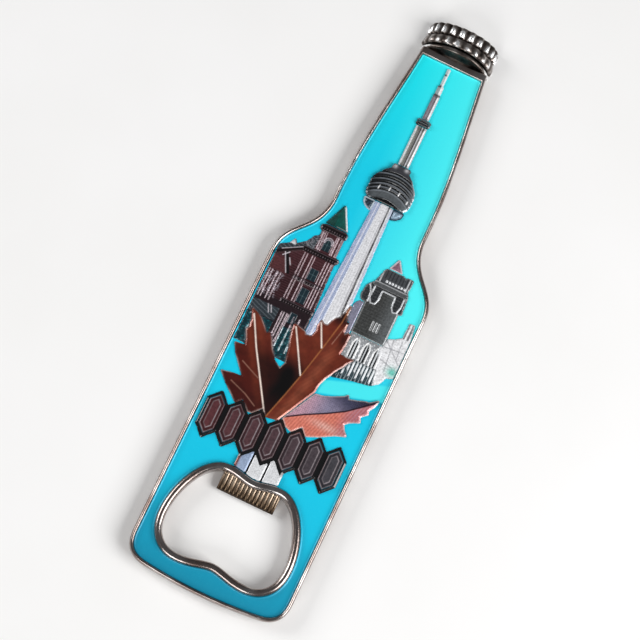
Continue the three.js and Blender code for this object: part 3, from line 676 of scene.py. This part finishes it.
def plate(x, y, depth):
    """Flat, with a round edge. Gloss black, a little brown along the edge."""
    coat = painted(base_coat(x, "#08070A", 0.1), (step_down(depth, 0, 0.18), "#2A1512", 0.3))
    return 0.5 - 0.3 * step_down(depth, 0, 0.3), coat


gloss_black = material("gloss_black", printed_metal, 0.25, 0.8, 0.6, 0.01, "#D0D0D0")
embossed("frieze_plate", "frieze_backing", 0.18, plate, gloss_black)


def bell(offset, width):
    """1 where the offset is 0, falling off on both sides over a width as a normal curve does."""
    return np.exp(-(offset / width) ** 2)


STUDS = [f"frieze_stud_{i}" for i in range(1, 8)]
first, last = (sum(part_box(STUDS[i])[j].x for j in (0, 1)) / 2 / MM for i in (0, -1))


def cut_stud(x, y, depth):
    """A narrow steep bevel round faces that rise gently to a flat table. Wine red, greyer from stud to
    stud; a painted highlight runs along the bevel, stronger at the left, and another along the table's
    edge, stronger at the right, and the foot is black."""
    across = 0 * x + (x.mean() - first) / (last - first)
    faces = painted(base_coat(x, "#4A1C20", 0.3), (across, "#333138", 0.3))
    table = painted(base_coat(x, "#6A3A3E", 0.3), (across, "#504E54", 0.3))
    left = step_down(x - x.mean(), -0.4, 0.4)
    # The two light lines are painted highlights: along the bevel, stronger at the left, and along the table's
    # edge, stronger at the right.
    coat = painted(
        over(faces, step_up(depth, 1.0, 1.15), table),
        (bell(depth - 0.3, 0.08) * (0.35 + 0.6 * left), "#CDBABC", 0.3),
        (bell(depth - 1.05, 0.1) * (0.85 - 0.5 * left), "#C4B8BC", 0.3),
        (step_down(depth, 0, 0.2), "#120A0C", 0.4),
    )
    return 0.2 + 0.44 * np.clip(depth / 0.34, 0, 1) + 0.16 * np.clip(depth / 1.05, 0, 1), coat


gunmetal = material("gunmetal", printed_metal, 0.25, 0.5, 0.35, 0.01, "#C8C8C8")
for stud in STUDS:
    embossed(stud + "_cut", stud, 0.11, cut_stud, gunmetal, 25, 0)


def wave(distance, period):
    """From 0 to 1 and back, once a period, as a sine."""
    return 0.5 + 0.5 * np.sin(2 * math.pi * distance / period)


def strip(depth):
    """The top of a flat strip with soft edges."""
    return 0.3 - 0.12 * step_down(depth, 0, 0.2)


def tower_foot(x, y, depth):
    """A flat strip. Silver, ribbed along its length; the left foot is blue, and brown at its left."""
    blue = step_up(-x, 2.4, 2.6)
    return strip(depth), painted(
        base_coat(x, "#F0F1F3", 0.1),
        (blue, "#A8BCDC", 0.2),
        (0.2 * wave(x, 0.42), "#9EA2A8", 0.2),
        (blue * step_up(-x, 4.6, 5.2), "#8A4438", 0.5),
    )


bright_foil = material("bright_foil", printed_metal, 0.36, 0.3, 0.2, 0.01, "#D2D2D2")
for foot in ("left", "middle", "right"):
    embossed(f"foot_{foot}", f"tower_leg_{foot}", 0.12, tower_foot, bright_foil)


# ---- The leaf -------------------------------------------------------------------
# The largest relief: copper-red lacquer over embossed foil, folded along its veins, with painted
# shade in the hollow between the lobes and painted highlights on the veins and the edge. The lobe at
# the right is printed with fine hatching instead.

def near_line(x, y, points):
    """The distance of each spot from a line through points."""
    points = np.array(points, float)
    return feet_on(np.column_stack([x, y]), np.stack([points[:-1], points[1:]], 1))[1].min(1)


def line(x, y, points, width, soft=0.1):
    """1 on a line of some width and 0 off it."""
    return step_down(near_line(x, y, points), width / 2, width / 2 + soft)


MIDRIB = [(-3.8, -29), (-2, -22.5), (-0.6, -17), (0.9, -10), (2.4, -2.5), (2.55, 1.2)]
VEINS = [
    [(-4.6, -28.2), (-12.2, -16), (-15.8, -9.4)],
    [(-6.3, -8), (-0.9, -17.4)],
    [(-1.7, -4.7), (0.7, -9.8)],
]
FINE_VEINS = [[(-14, -25), (-10, -26.4), (-7, -28)], [(3.6, -2.6), (2.4, -8)], [(-13.6, -20), (-9, -22)]]
HOLLOW = [(-4.4, -26.5), (-3.2, -21), (-3.6, -15)]


def leaf(x, y, depth):
    """The top is creased upwards along the veins, more along the midrib, hollow between the lobes, and
    round at the edge. Copper red, brighter above and right of the midrib, with painted sheen beside the
    veins and right of the midrib, painted shade nearly black in the hollow, and painted highlights on
    the veins and along the edge, where they come and go."""
    from_veins = [near_line(x, y, vein) for vein in VEINS]
    hollow = bell(near_line(x, y, HOLLOW), 2.2)
    crest = np.exp(-np.minimum.reduce(from_veins) / 1.7)
    spine = np.exp(-near_line(x, y, MIDRIB) / 2.2)
    fold = 0.25 + 0.5 * crest + 0.45 * spine - 0.35 * hollow
    left_rib, mid_rib = (np.interp(y, *np.array(rib)[:, ::-1].T) for rib in (VEINS[0], MIDRIB))
    right = step_up(x - mid_rib, -0.1, 0.15)
    left = 1 - right
    # The light bands beside the veins and right of the midrib are painted sheen.
    coat = painted(
        base_coat(x, "#5E1C11", 0.4),
        (step_up(y, -21, -9), "#7E3220", 0.4),
        (0.35 * sum(bell(away - 1.1, 0.8) for away in from_veins) * left, "#A0492E", 0.4),
        (right, "#823420", 0.4),
        (0.5 * bell(x - mid_rib - 2.2, 1.1) * right * step_up(-y, 6, 12), "#C26A4C", 0.5),
    )
    # Painted shade: the wedge between the lobes and the hollow, darkened nearly to black.
    wedge = step_up(x - left_rib, -0.1, 0.5) * left * step_up(-y, 13, 19)
    coat = painted(
        coat,
        (0.85 * wedge, "#240906", 0.4),
        (1.2 * wedge * hollow, "#060202", 0.4),
        (0.55 * left * step_up(-y, 22, 28), "#3A1010", 0.4),
        (0.8 * bell(x - 4.3, 0.9) * bell(y + 6.2, 1.7), "#2E0F0C", 0.4),
        (step_up(y, -4.6, -1.6) * step_up(x, 0.2, 1), "#32100F", 0.45),
        (0.16 * right * (0.5 + 0.5 * np.sin(6.5 * (x - 0.55 * y) + 1.5 * np.sin(0.9 * y))), "#5E2417", 0.5),
        (0.8 * line(x, y, MIDRIB, 0.12, 0.16), "#C87A48", 0.4),
        # The pale veins and the pale edge are painted highlights.
        *[(line(x, y, vein, 0.2, 0.12), "#FFEDE0", 0.0) for vein in VEINS],
        *[(0.5 * line(x, y, vein, 0.06, 0.14), "#E0A890", 0.3) for vein in FINE_VEINS],
        (step_down(depth, 0.02, 0.16) * (0.35 + 0.35 * np.sin(0.9 * x - 0.7 * y)), "#E8CFC6", 0.4),
    )
    return np.clip(0.28 + 0.42 * fold, 0.2, 0.74) - 0.16 * step_down(depth, 0, 0.3), coat


copper_foil = material("copper_foil", printed_metal, 0.26, 0.6, 1.2, 0.01, "#D4D4D4")
embossed("leaf_folded", "leaf_main", 0.15, leaf, copper_foil)

LOBE_RIB = [(-1.5, -28.2), (3.5, -25), (8, -22.5), (11.5, -20.3), (17.2, -15.4)]


def dotted(x, y, pitch):
    """1 on the dots of a slanting grid, and 0 between them: the product of two sines."""
    u, v = (np.sin(2 * math.pi * along / pitch) for along in (x + y, x - y))
    return step_up(u * v, -0.1, 0.5)


def side_lobe(x, y, depth):
    """The top is a ridge along the rib, with a round edge. Above the rib it is pink to lavender with
    dots, navy towards the edge and the tip; below it salmon with slanted lines, paler in the middle
    and mauve at the tip."""
    rib = np.interp(x, *np.array(LOBE_RIB).T)
    cool = painted(
        base_coat(x, "#E8B4C4", 0.2),
        (step_up(x, 2, 8), "#A8A0BC", 0.3),
        (step_up(x + 0.9 * (y - rib), 8.5, 13.5), "#4A4C66", 0.4),
        (step_up(x, 11.5, 15.5), "#2C2436", 0.4),
        (0.5 * dotted(x, y, 0.85), "#6A6284", 0.4),
    )
    warm = painted(
        base_coat(x, "#F4907A", 0.2),
        (0.6 * bell(x - 9, 3.5) * bell(y + 25.4, 0.9), "#FFE0D4", 0.1),
        (0.7 * step_up(x, 9.5, 14), "#B488A0", 0.3),
        (0.5 * wave(0.95 * x - 0.3 * y, 0.62), "#C45448", 0.3),
    )
    coat = painted(
        over(cool, step_up(rib - y, -0.05, 0.12), warm),
        (line(x, y, LOBE_RIB, 0.14, 0.2), "#2E1A28", 0.4),
        (0.6 * step_down(depth, 0.02, 0.2), "#F6E6E0", 0.3),
    )
    return 0.4 + 0.3 * np.exp(-near_line(x, y, LOBE_RIB) / 1.6) - 0.16 * step_down(depth, 0, 0.3), coat


hatched_foil = material("hatched_foil", printed_metal, 0.3, 0.4, 0.3, 0.01, "#D8D8D8")
embossed("leaf_hatched_lobe", "leaf_side_lobe", 0.13, side_lobe, hatched_foil)


# ---- The tower ------------------------------------------------------------------
# A slim concrete shaft with a round pod and a stepped mast, embossed in silver foil. The shaft and
# the mast are bright with fine upright lines; the pod is gunmetal, in curved tiers.

shaft_low, shaft_high = span("tower_shaft")


def shaft(x, y, depth):
    """A raised middle between two lower bands, with a fine groove near its right side; all taper with
    the shaft, across which a share runs from 0 to 1. A lavender band with dots and a pale line,
    silver with fine ribs, a dark groove, and a blue edge at the right."""
    t = (y - shaft_low[1]) / (shaft_high[1] - shaft_low[1])
    left_edge, right_edge = -3.92 + t * 1.47, 2.9 - t * 1.2
    s = (x - left_edge) / (right_edge - left_edge)
    raised = step_up(s, 0.28, 0.36) * step_down(s, 0.84, 0.9)
    band = step_down(s, 0.28, 0.34)
    coat = painted(
        base_coat(x, "#F0F0F3", 0.05),
        (band, "#C2CEE8", 0.1),
        (0.75 * band * dotted(x, y, 0.75), "#6E7AB0", 0.2),
        (band * bell(s - 0.16, 0.025), "#F4F4FF", 0.1),
        (0.2 * (1 - band) * wave(s, 1 / 9), "#A4A4AE", 0.1),
        (1.2 * bell(s - 0.81, 0.045), "#26222A", 0.2),
        (0.6 * bell(s - 0.7, 0.012), "#8E8A92", 0.2),
        (0.5 * step_up(s, 0.9, 0.97), "#8CA0C8", 0.2),
    )
    return 0.42 + 0.25 * raised - 0.1 * bell(s - 0.81, 0.02) - 0.12 * step_down(depth, 0, 0.2), coat


embossed("shaft_silver", "tower_shaft", 0.13, shaft, bright_foil)

low, high = span("tower_pod")
POD_X = (low[0] + high[0]) / 2
TIERS = [27.0, 29.35, 30.3, 31.2, 32.4, 33.7]  # where one tier meets the next, on the axis
TICKS = [[(at_x, 29.45), (at_x + 0.12, 30.15)] for at_x in (-3.3, -0.9, 1.5, 3.9)]


def pod(x, y, depth):
    """The top bulges as a circle across, with a groove where tiers meet; tier lines sag at the axis.
    Gunmetal tiers, with painted shade under each edge and a painted highlight on it, white window ticks
    on the third and two pale lumps on top; painted shade at the left, and painted light and a painted
    highlight along the edge at the right."""
    level = y + (0.075 - 0.003 * (y - 26)) * (x - POD_X) ** 2
    drum = np.sqrt(np.clip(1 - ((x - POD_X) / 6.2) ** 2, 0, 1))
    groove = sum(bell(level - tier, 0.16) for tier in TIERS)
    lumps = bell(np.abs(x - POD_X + 0.15) - 1.35, 0.45) * bell(y - 35.2, 0.45)
    coat = painted(
        base_coat(x, "#1E2226", 0.4),
        (step_up(level, 33.6, 34.2), "#4A4A50", 0.4),
        (step_up(level, 27.0, 27.5) * step_down(level, 29.1, 29.4), "#70767A", 0.5),
    )
    # Painted shade under each tier's edge and a painted highlight on it.
    for tier in TIERS:
        coat = painted(coat, (0.95 * bell(level - tier, 0.25), "#040506", 0.3),
                       (0.8 * bell(level - tier + 0.5, 0.13), "#A4AAB2", 0.4))
    # Painted shade at the left, painted light at the right, and a painted highlight along the right edge.
    coat = painted(
        coat,
        (step_up(-level, -27.0, -26.7), "#050607", 0.3),
        (0.35 * step_up(x, 2.8, 4.8), "#B4BCC2", 0.4),
        (0.6 * step_up(-x, 3.4, 5.4), "#14181C", 0.5),
        *[(line(x, level, tick, 0.14, 0.12), "#FFFFFF", 0.1) for tick in TICKS],
        (1.1 * lumps * (y > 34.2), "#D8D8DC", 0.3),
        (0.7 * step_down(depth, 0.02, 0.2) * step_up(x, 2, 4), "#D8DCE0", 0.3),
    )
    return 0.35 + 0.72 * drum - 0.22 * groove - 0.15 * step_down(depth, 0, 0.25), coat


pod_foil = material("pod_foil", printed_metal, 0.27, 0.5, 0.3, 0.01, "#D0D0D0")
embossed("pod_tiers", "tower_pod", 0.12, pod, pod_foil)


def underside(x, y, depth):
    """Rounded. Silver blue with slanting seams, nearly black at the left; the edge is pale at the left
    and dark at the right."""
    return 0.3 + 0.38 * step_up(depth, 0, 0.6), painted(
        base_coat(x, "#A8C0D4", 0.3),
        (step_up(-x, 2.0, 2.8), "#24323C", 0.3),
        (0.4 * wave(x - 0.6 * y, 0.95), "#4A6880", 0.4),
        (step_down(depth, 0.02, 0.22) * (x < 0), "#C8D4DE", 0.2),
        (step_down(depth, 0.04, 0.3) * (x > 0), "#22384E", 0.3),
    )


for side in ("left", "right"):
    embossed(f"pod_underside_{side}", f"pod_ring_{side}", 0.1, underside, bright_foil, spread=0.2)

NECK_BARS = [(-1.42, 0.3, "#F6F6F8"), (-0.85, 0.5, "#8C8C86"), (-0.32, 0.22, "#4A4A48"),
             (-0.08, 0.16, "#ECECF0"), (0.24, 0.28, "#62625F"), (0.68, 0.3, "#F8F8FA")]
MAST_BARS = [(-0.75, 0.75, "#948A94"), (-0.2, 0.2, "#6A6468"), (0.2, 0.4, "#F4F4F6")]


def column(x, depth, code, bars):
    """Round, like a pipe, with upright bars of (middle, width, colour)."""
    masks = [step_down(np.abs(x - middle), width / 2, width / 2 + 0.12) for middle, width, _ in bars]
    layers = [(mask, bar[2], 0.4) for mask, bar in zip(masks, bars)]
    return 0.35 + 0.33 * step_up(depth, 0, 1.1), painted(base_coat(x, code, 0.3), *layers)


def neck(x, y, depth):
    """A column with bright edges and dark slots between them."""
    return column(x, depth, "#B4B4B2", NECK_BARS)


def mast(x, y, depth):
    """A column: lavender grey with a painted highlight at the right of its upper part, dark where its steps
    meet, pale above.
    """
    top, coat = column(x, depth, "#B0AAAE", MAST_BARS)
    upper = step_up(y, 54.8, 55.2)
    return top, painted(
        coat,
        (upper, "#A8B4B4", 0.2),
        (step_up(y, 57.2, 57.6), "#C6D4D6", 0.1),
        *[(bell(y - joint, 0.22), "#4A4644", 0.4) for joint in (54.7, 57.0, 60.0)],
        # The white at the upper right is a painted highlight.
        (0.9 * upper * step_up(x + 0.3, -0.1, 0.1), "#FFFFFF", 0.1),
    )


def knuckle(x, y, depth):
    """Round. Dark, with a paler top line, and a painted highlight at its right end."""
    return 0.4 + 0.68 * step_up(depth, 0, 0.75), painted(
        base_coat(x, "#33373A", 0.6),
        (step_up(y, 47.4, 47.8), "#8A8F92", 0.6),
        # The paler right end is a painted highlight.
        (0.6 * step_up(x, 0.6, 1.2), "#9AA0A4", 0.6),
    )


embossed("neck_column", "tower_neck", 0.1, neck, bright_foil)
embossed("mast_stepped", "tower_mast", 0.1, mast, bright_foil)
embossed("mast_knuckle", "mast_collar", 0.1, knuckle, pod_foil)


# ---- The brick house ------------------------------------------------------------
# An old warehouse corner with a round turret: maroon brick, pale stone mullions, dark sash windows,
# projecting cornices and a slate roof, with trees in front. The turret's cone is patinated copper.

def block(x, y, x0, x1, y0, y1, soft=0.12):
    """1 inside a rectangle."""
    inside = np.minimum(np.minimum(x - x0, x1 - x), np.minimum(y - y0, y1 - y))
    return step_up(inside, -soft / 2, soft / 2)


def strokes(x, y, ends, share, width, soft, code):
    """A layer for each thin straight line, given by its two ends."""
    return [(share * line(x, y, pair, width, soft), code, 0.2) for pair in ends]


CORNICES = [  # left, right, low and high
    (-12.4, -4.0, 8.5, 9.7), (-11.0, -4.6, 14.7, 16.1), (-11.8, -4.1, 1.7, 2.5), (-12.0, -4.1, -4.3, -3.3)]
WINDOWS = [
    (-8.95, -7.0, 2.9, 5.7), (-8.95, -7.0, -2.8, 0.8), (-8.8, -7.0, 10.4, 13.4), (-8.6, -7.1, -8.0, -5.4)]
POSTS = [  # of the front, the wing, the turret and the shop: places, half the width, foot and head
    ([-11.6, -10.95, -9.75, -9.2, -6.5, -5.85, -5.2], 0.06, -3.2, 8.4),
    ([-17.1, -16.4, -15.3, -14.5], 0.06, -5.2, 1.8),
    ([-9.85, -9.4, -9.0, -6.6, -6.2, -5.5], 0.08, 10, 14.6),
    ([-10.5, -10.05, -9.35, -8.9, -7.6, -6.2], 0.1, -14.6, -6),
]
HOUSE_LINES = [
    ((-14.0, -5.9), (-13.2, -7.6)), ((-13.3, -5.9), (-12.6, -7.4)), ((-15.6, 6.4), (-13.6, 2.2)),
    ((-15.9, 5.6), (-14.7, 6.8)), ((-16.6, 6.9), (-12.6, 9.2)), ((-14.2, 5.6), (-13.4, 4.2)),
]


def house(x, y, depth):
    """Posts and cornices stand out, windows and slates are sunk, and the trees swell and dip as sines.
    Dark maroon brick in courses, pinkish white posts, teal windows with thin sashes, two arches round
    the turret's window, black cornices with dentils and a pale line, grey slates, and teal trees."""
    posts = sum(block(x, y, at_x - half, at_x + half, y0, y1)
                for places, half, y0, y1 in POSTS for at_x in places)
    eaves = np.interp(x, [-17.6, -12.2], [5.6, 9.0])
    cornices = sum(block(x, y, *box) for box in CORNICES) + (x < -12) * bell(y - eaves, 0.5)
    slates = step_up(y - eaves, 0.5, 0.8) * (x < -10.3) * (y < 13) + block(x, y, -17.7, -11.3, -8.9, -5.9)
    posts, windows, cornices, slates, trees = (np.clip(mask, 0, 1) for mask in (
        posts, sum(block(x, y, *box) for box in WINDOWS), cornices, slates,
        step_up(-y, 8.8, 9.4) * ((x < -11.4) | (x > -9.0))))
    sash = sum(block(x, y, -8.02, -7.94, y0, y1)
               + block(x, y, x0, x1, (y0 + y1) / 2 - 0.05, (y0 + y1) / 2 + 0.05)
               for x0, x1, y0, y1 in WINDOWS[:3])
    arches = [np.abs(np.hypot(x + 7.9, (y - 12.4) * 0.9) - radius) for radius in (1.1, 0.75)]
    foliage = step_up(np.sin(4.3 * x + 2 * np.sin(3.1 * y)) * np.sin(4.9 * y + x), 0.2, 0.9)
    coat = painted(
        base_coat(x, "#3C1B20", 0.35),
        (step_up(y, 2, 7), "#4C252A", 0.35),
        (0.3 * (np.abs((y / 0.55) % 1 - 0.5) < 0.14), "#7A545C", 0.3),
        (step_up(-y, 3.4, 4.4), "#2A1A20", 0.35),
        (0.45 * block(x, y, -17.7, -13.4, 1.8, 5.2, 0.8), "#7A4444", 0.3),
        (windows, "#1F3640", 0.4),
        (0.4 * sash * windows, "#7FA0A4", 0.4),
        *[(0.8 * step_down(arch, 0.04, 0.18) * (y > 12.2) * (y < 14.4), "#D4C8D0", 0.3) for arch in arches],
        (slates, "#3A434A", 0.4),
        (0.35 * (np.abs((y + 0.35 * x) / 0.8 % 1 - 0.5) < 0.14) * slates, "#9AA4AC", 0.4),
        (trees, "#0C3A44", 0.4),
        (0.6 * trees * foliage, "#1F7C84", 0.4),
        (cornices, "#1A0E11", 0.5),
    )
    teeth = step_up(np.sin(2 * math.pi * x / 0.6), 0.3, 0.9)
    for x0, x1, y0, y1 in CORNICES:
        dentils = teeth * bell(y - 0.65 * y0 - 0.35 * y1, 0.16) * block(x, y, x0, x1, y0, y1)
        coat = painted(coat, (0.55 * dentils, "#B8A4AC", 0.3),
                       (0.7 * block(x, y, x0, x1, y1 - 0.16, y1 - 0.04, 0.1), "#8E7C84", 0.4))
    swirls = np.sin(8.5 * x + 2.5 * np.sin(4.3 * y)) * np.sin(6.1 * y + 2 * np.sin(3.7 * x))
    carving = step_up(swirls, 0.15, 0.6)
    broken = 0.55 + 0.12 * np.sign(np.sin(5.3 * y + 3 * x))
    coat = painted(
        coat,
        (broken * posts * (1 - trees), "#EBD0DA", 0.15),
        (posts * trees, "#D0DEE2", 0.2),
        (0.7 * carving * block(x, y, -17.8, -13.6, -4.2, 1.6, 0.6), "#D8CEDA", 0.2),
        (0.5 * carving * block(x, y, -13.4, -9.2, 9.8, 12.8, 0.4), "#D8D4DC", 0.2),
        (step_up(0.62 - np.abs(x + 15) - 0.55 * (y - 9.3), 0, 0.2) * (y > 8.9), "#F4F6F8", 0.2),
        (line(x, y, [(-15.2, 6.6), (-13.2, 2.4)], 0.5, 0.2), "#120C10", 0.4),
        *strokes(x, y, HOUSE_LINES, 0.9, 0.08, 0.12, "#EDE6EC"),
        (0.3 * step_down(depth, 0.02, 0.16), "#9C8A90", 0.4),
    )
    wall = 0.3 + 0.14 * posts + 0.22 * cornices - 0.14 * windows * (1 - posts) - 0.06 * slates
    bushes = 0.12 * trees * np.sin(2.1 * x + 1.3 * np.sin(1.7 * y)) * np.sin(1.9 * y)
    return wall + bushes - 0.12 * step_down(depth, 0, 0.2), coat


building_foil = material("building_foil", printed_metal, 0.34, 0.35, 0.25, 0.015, "#C4C4C4")
embossed("warehouse", "brick_house", 0.13, house, building_foil, spread=0.2)

cone_low, cone_high = span("house_roof")
CONE_X = (cone_low[0] + cone_high[0]) / 2 - 0.3


def cone(x, y, depth):
    """Round across, like a cone seen from the side, with straight seams to its tip. Patina green, dark
    at the foot, with painted shade at the left and a painted highlight along the right edge."""
    half = 2.6 * (cone_high[1] + 0.3 - y) / (cone_high[1] - cone_low[1])
    seam = np.abs(((x - CONE_X) / (cone_high[1] + 0.6 - y) * 9) % 1 - 0.5) < 0.08
    # The white right edge is a painted highlight, and the darker left a painted shade.
    bright = step_up(x - CONE_X, 0, 0.3) * step_up(y, cone_low[1] + 0.6, cone_low[1] + 1)
    coat = painted(
        base_coat(x, "#0A5A50", 0.3),
        (step_down(y, cone_low[1], cone_low[1] + 1.4), "#0E1C20", 0.4),
        (0.6 * step_up(CONE_X - 0.2 - x, 0, 0.5), "#2A4844", 0.4),
        (0.25 * seam, "#1F8070", 0.4),
        (step_down(depth, 0.1, 0.26) * bright, "#FFFFFF", 0.1),
    )
    return 0.25 + 0.33 * np.sqrt(np.clip(1 - ((x - CONE_X) / np.maximum(half, 0.2)) ** 2, 0, 1)), coat


embossed("turret_cone", "house_roof", 0.1, cone, building_foil, spread=0.2)


# ---- The stone hall -------------------------------------------------------------
# A gate tower of grey stone with a corbelled crown and a small pink roof, over a hall with pointed
# arches. A bright wing with a chimney stands at its right and a shaded flank at its left.

CORBELS = [
    [(5.5, 8.2), (5.45, 5.4), (6.1, 4.3), (7.0, 4.4), (7.45, 5.6), (7.5, 7.9), (10.6, 7.9), (10.8, 5.4),
     (11.4, 4.4), (12.2, 4.6), (12.6, 6.0), (12.6, 8.2)],
    [(4.1, 8.8), (5.2, 6.6), (5.3, 4.4)],
]
SLITS = [8.72, 9.5, 10.22]
MERLONS = np.arange(7.4, 12, 0.72)


def gate(x, y, depth):
    """A flat wall with raised mouldings, parapet and merlons, and sunk slits. Grey stone in blocks, paler
    to the right and darker round the crown, with white mouldings and slits, and a striped top."""
    moulding = np.clip(sum(line(x, y, points, 0.18, 0.12) for points in CORBELS), 0, 1)
    slits = sum(block(x, y, at_x - 0.3, at_x + 0.1, -1.5, 0.8, 0.15) for at_x in SLITS)
    parapet = block(x, y, 5.0, 12.9, 8.4, 9.6)
    merlons = sum(block(x, y, at_x - 0.18, at_x + 0.18, 10.0, 10.6, 0.15) for at_x in MERLONS)
    uprights = np.abs((x / 1.2 + 0.5 * (np.floor(y / 0.7) % 2)) % 1 - 0.5) < 0.05
    joints = (np.abs((y / 0.7) % 1 - 0.5) < 0.1) | uprights
    coat = painted(
        base_coat(x, "#474847", 0.4),
        (step_up(x, 8, 13), "#777C7E", 0.4),
        (step_up(y, 4.2, 4.8) * (1 - block(x, y, 7.5, 10.7, 4, 7.9)), "#34363A", 0.4),
        (0.22 * joints, "#8A8C8C", 0.3),
        (parapet, "#67696B", 0.4),
        (block(x, y, 5.2, 12.8, 9.35, 9.6, 0.1), "#D0D2D4", 0.3),
        (block(x, y, 5.0, 13.0, 8.15, 8.4, 0.1), "#1A1A1C", 0.3),
        (step_up(y, 9.7, 9.9), "#55585C", 0.4),
        (0.8 * (np.abs(x / 0.8 % 1 - 0.5) < 0.16) * step_up(y, 10.7, 11), "#24272A", 0.3),
        *[(line(x, y, [(at_x, 9.8), (at_x, 12.8)], 0.18, 0.12), "#E6E8EA", 0.3) for at_x in (5.9, 12.1)],
        (merlons, "#F2F4F6", 0.2),
        (0.95 * moulding, "#DADCDF", 0.3),
        (slits, "#E9EBEC", 0.3),
        *[(line(x, y, [(at_x - 0.1, -1.3), (at_x - 0.1, 0.6)], 0.06, 0.12), "#4A4C4E", 0.3)
          for at_x in SLITS],
        (0.4 * step_down(depth, 0.02, 0.2), "#C6C8CA", 0.4),
    )
    wall = 0.36 + 0.16 * moulding + 0.18 * parapet + 0.12 * merlons - 0.08 * slits
    return wall - 0.12 * step_down(depth, 0, 0.2), coat


def gable(x, y, depth):
    """A small roof that rises evenly from its edge to a ridge. Dusty pink with white edges."""
    coat = painted(base_coat(x, "#A5788A", 0.4), (step_down(depth, 0.05, 0.25), "#F2E4EA", 0.3))
    return 0.25 + 0.3 * np.clip(depth / 0.7, 0, 1), coat


embossed("gate_tower", "stone_tower", 0.12, gate, building_foil, spread=0.2)
embossed("gate_roof", "stone_roof", 0.08, gable, building_foil, spread=0.2)

ARCHES = [7.15, 9.75, 12.3]
ROOF_LINES = [
    ((13.0, -1.8), (17.6, -6.0)), ((13.2, -3.4), (17.4, -3.0)), ((14.4, -1.2), (15.2, -8.6)),
    ((13.1, -6.2), (17.5, -7.4)), ((16.2, -0.6), (16.6, -5.0)),
]


def hall(x, y, depth):
    """Sunk arches with raised mouldings, which widen as the square root of the way down from their
    points, and posts below them. Silver stone, dark arches with white mouldings and a white post in
    each, white posts over deep teal; a white wing with grey roof lines and a chimney; a green bush."""
    half = 0.75 * np.clip((-4.1 - y) / 1.5, 0, 1) ** 0.5
    tall = step_up(-y, 4.1, 4.3) * step_down(-y, 8.8, 9.0)
    inside = [half - np.abs(x - at_x) for at_x in ARCHES]
    openings = np.clip(sum(step_up(arch, 0.14, 0.26) * tall for arch in inside), 0, 1)
    mouldings = np.clip(sum(step_down(np.abs(arch), 0.1, 0.24) * tall for arch in inside), 0, 1)
    rail = np.cos(2 * math.pi * x / 0.78)
    low = step_up(-y, 8.9, 9.2)
    ends = 12.9 - 0.1 * x + 0.7 * np.sin(3.9 * x)
    coat = painted(
        base_coat(x, "#A6A9AC", 0.2),
        (step_up(np.sin(7 * x) * np.sin(5 * y + 2 * x), 0.3, 0.8), "#E2E4E6", 0.2),
        (openings, "#24282C", 0.3),
        (openings * sum(np.abs(x - at_x) < 0.14 for at_x in ARCHES), "#E8ECEE", 0.1),
        (mouldings, "#FFFFFF", 0.1),
        (low, "#12343E", 0.3),
        (step_up(rail, -0.1, 0.5) * low * step_down(-y, ends, ends + 0.4), "#F4F8FA", 0.1),
        (step_up(x + 0.25 * y, 10.9, 11.5) * (1 - 0.8 * low * (x < 13.6)), "#FAFAFC", 0.05),
        *strokes(x, y, ROOF_LINES, 0.6, 0.08, 0.16, "#9A9AA0"),
        (block(x, y, 16.0, 17.3, 0.0, 3.9) * (np.abs(x - 16.55) > 0.28), "#8E8E92", 0.3),
        (1.1 * bell(x - 17.0, 1.3) * bell(y + 8.0, 1.1), "#7CD8C8", 0.1),
        (0.25 * step_down(depth, 0.02, 0.2), "#5E6468", 0.3),
    )
    posts = (0.5 + 0.5 * rail) * step_up(-y, 9.0, 9.4) * (x < 14)
    return 0.34 + 0.16 * mouldings - 0.1 * openings + 0.14 * posts - 0.12 * step_down(depth, 0, 0.2), coat


def flank(x, y, depth):
    """A flat strip. Lavender grey with slanted hatching."""
    hatching = wave(x + 0.8 * y, 0.42)
    return strip(depth), painted(base_coat(x, "#8C8BA2", 0.3), (0.35 * hatching, "#C4C2D4", 0.3))


embossed("arcaded_hall", "stone_hall", 0.12, hall, building_foil, spread=0.2)
embossed("shaded_flank", "stone_flank", 0.12, flank, building_foil, spread=0.2)
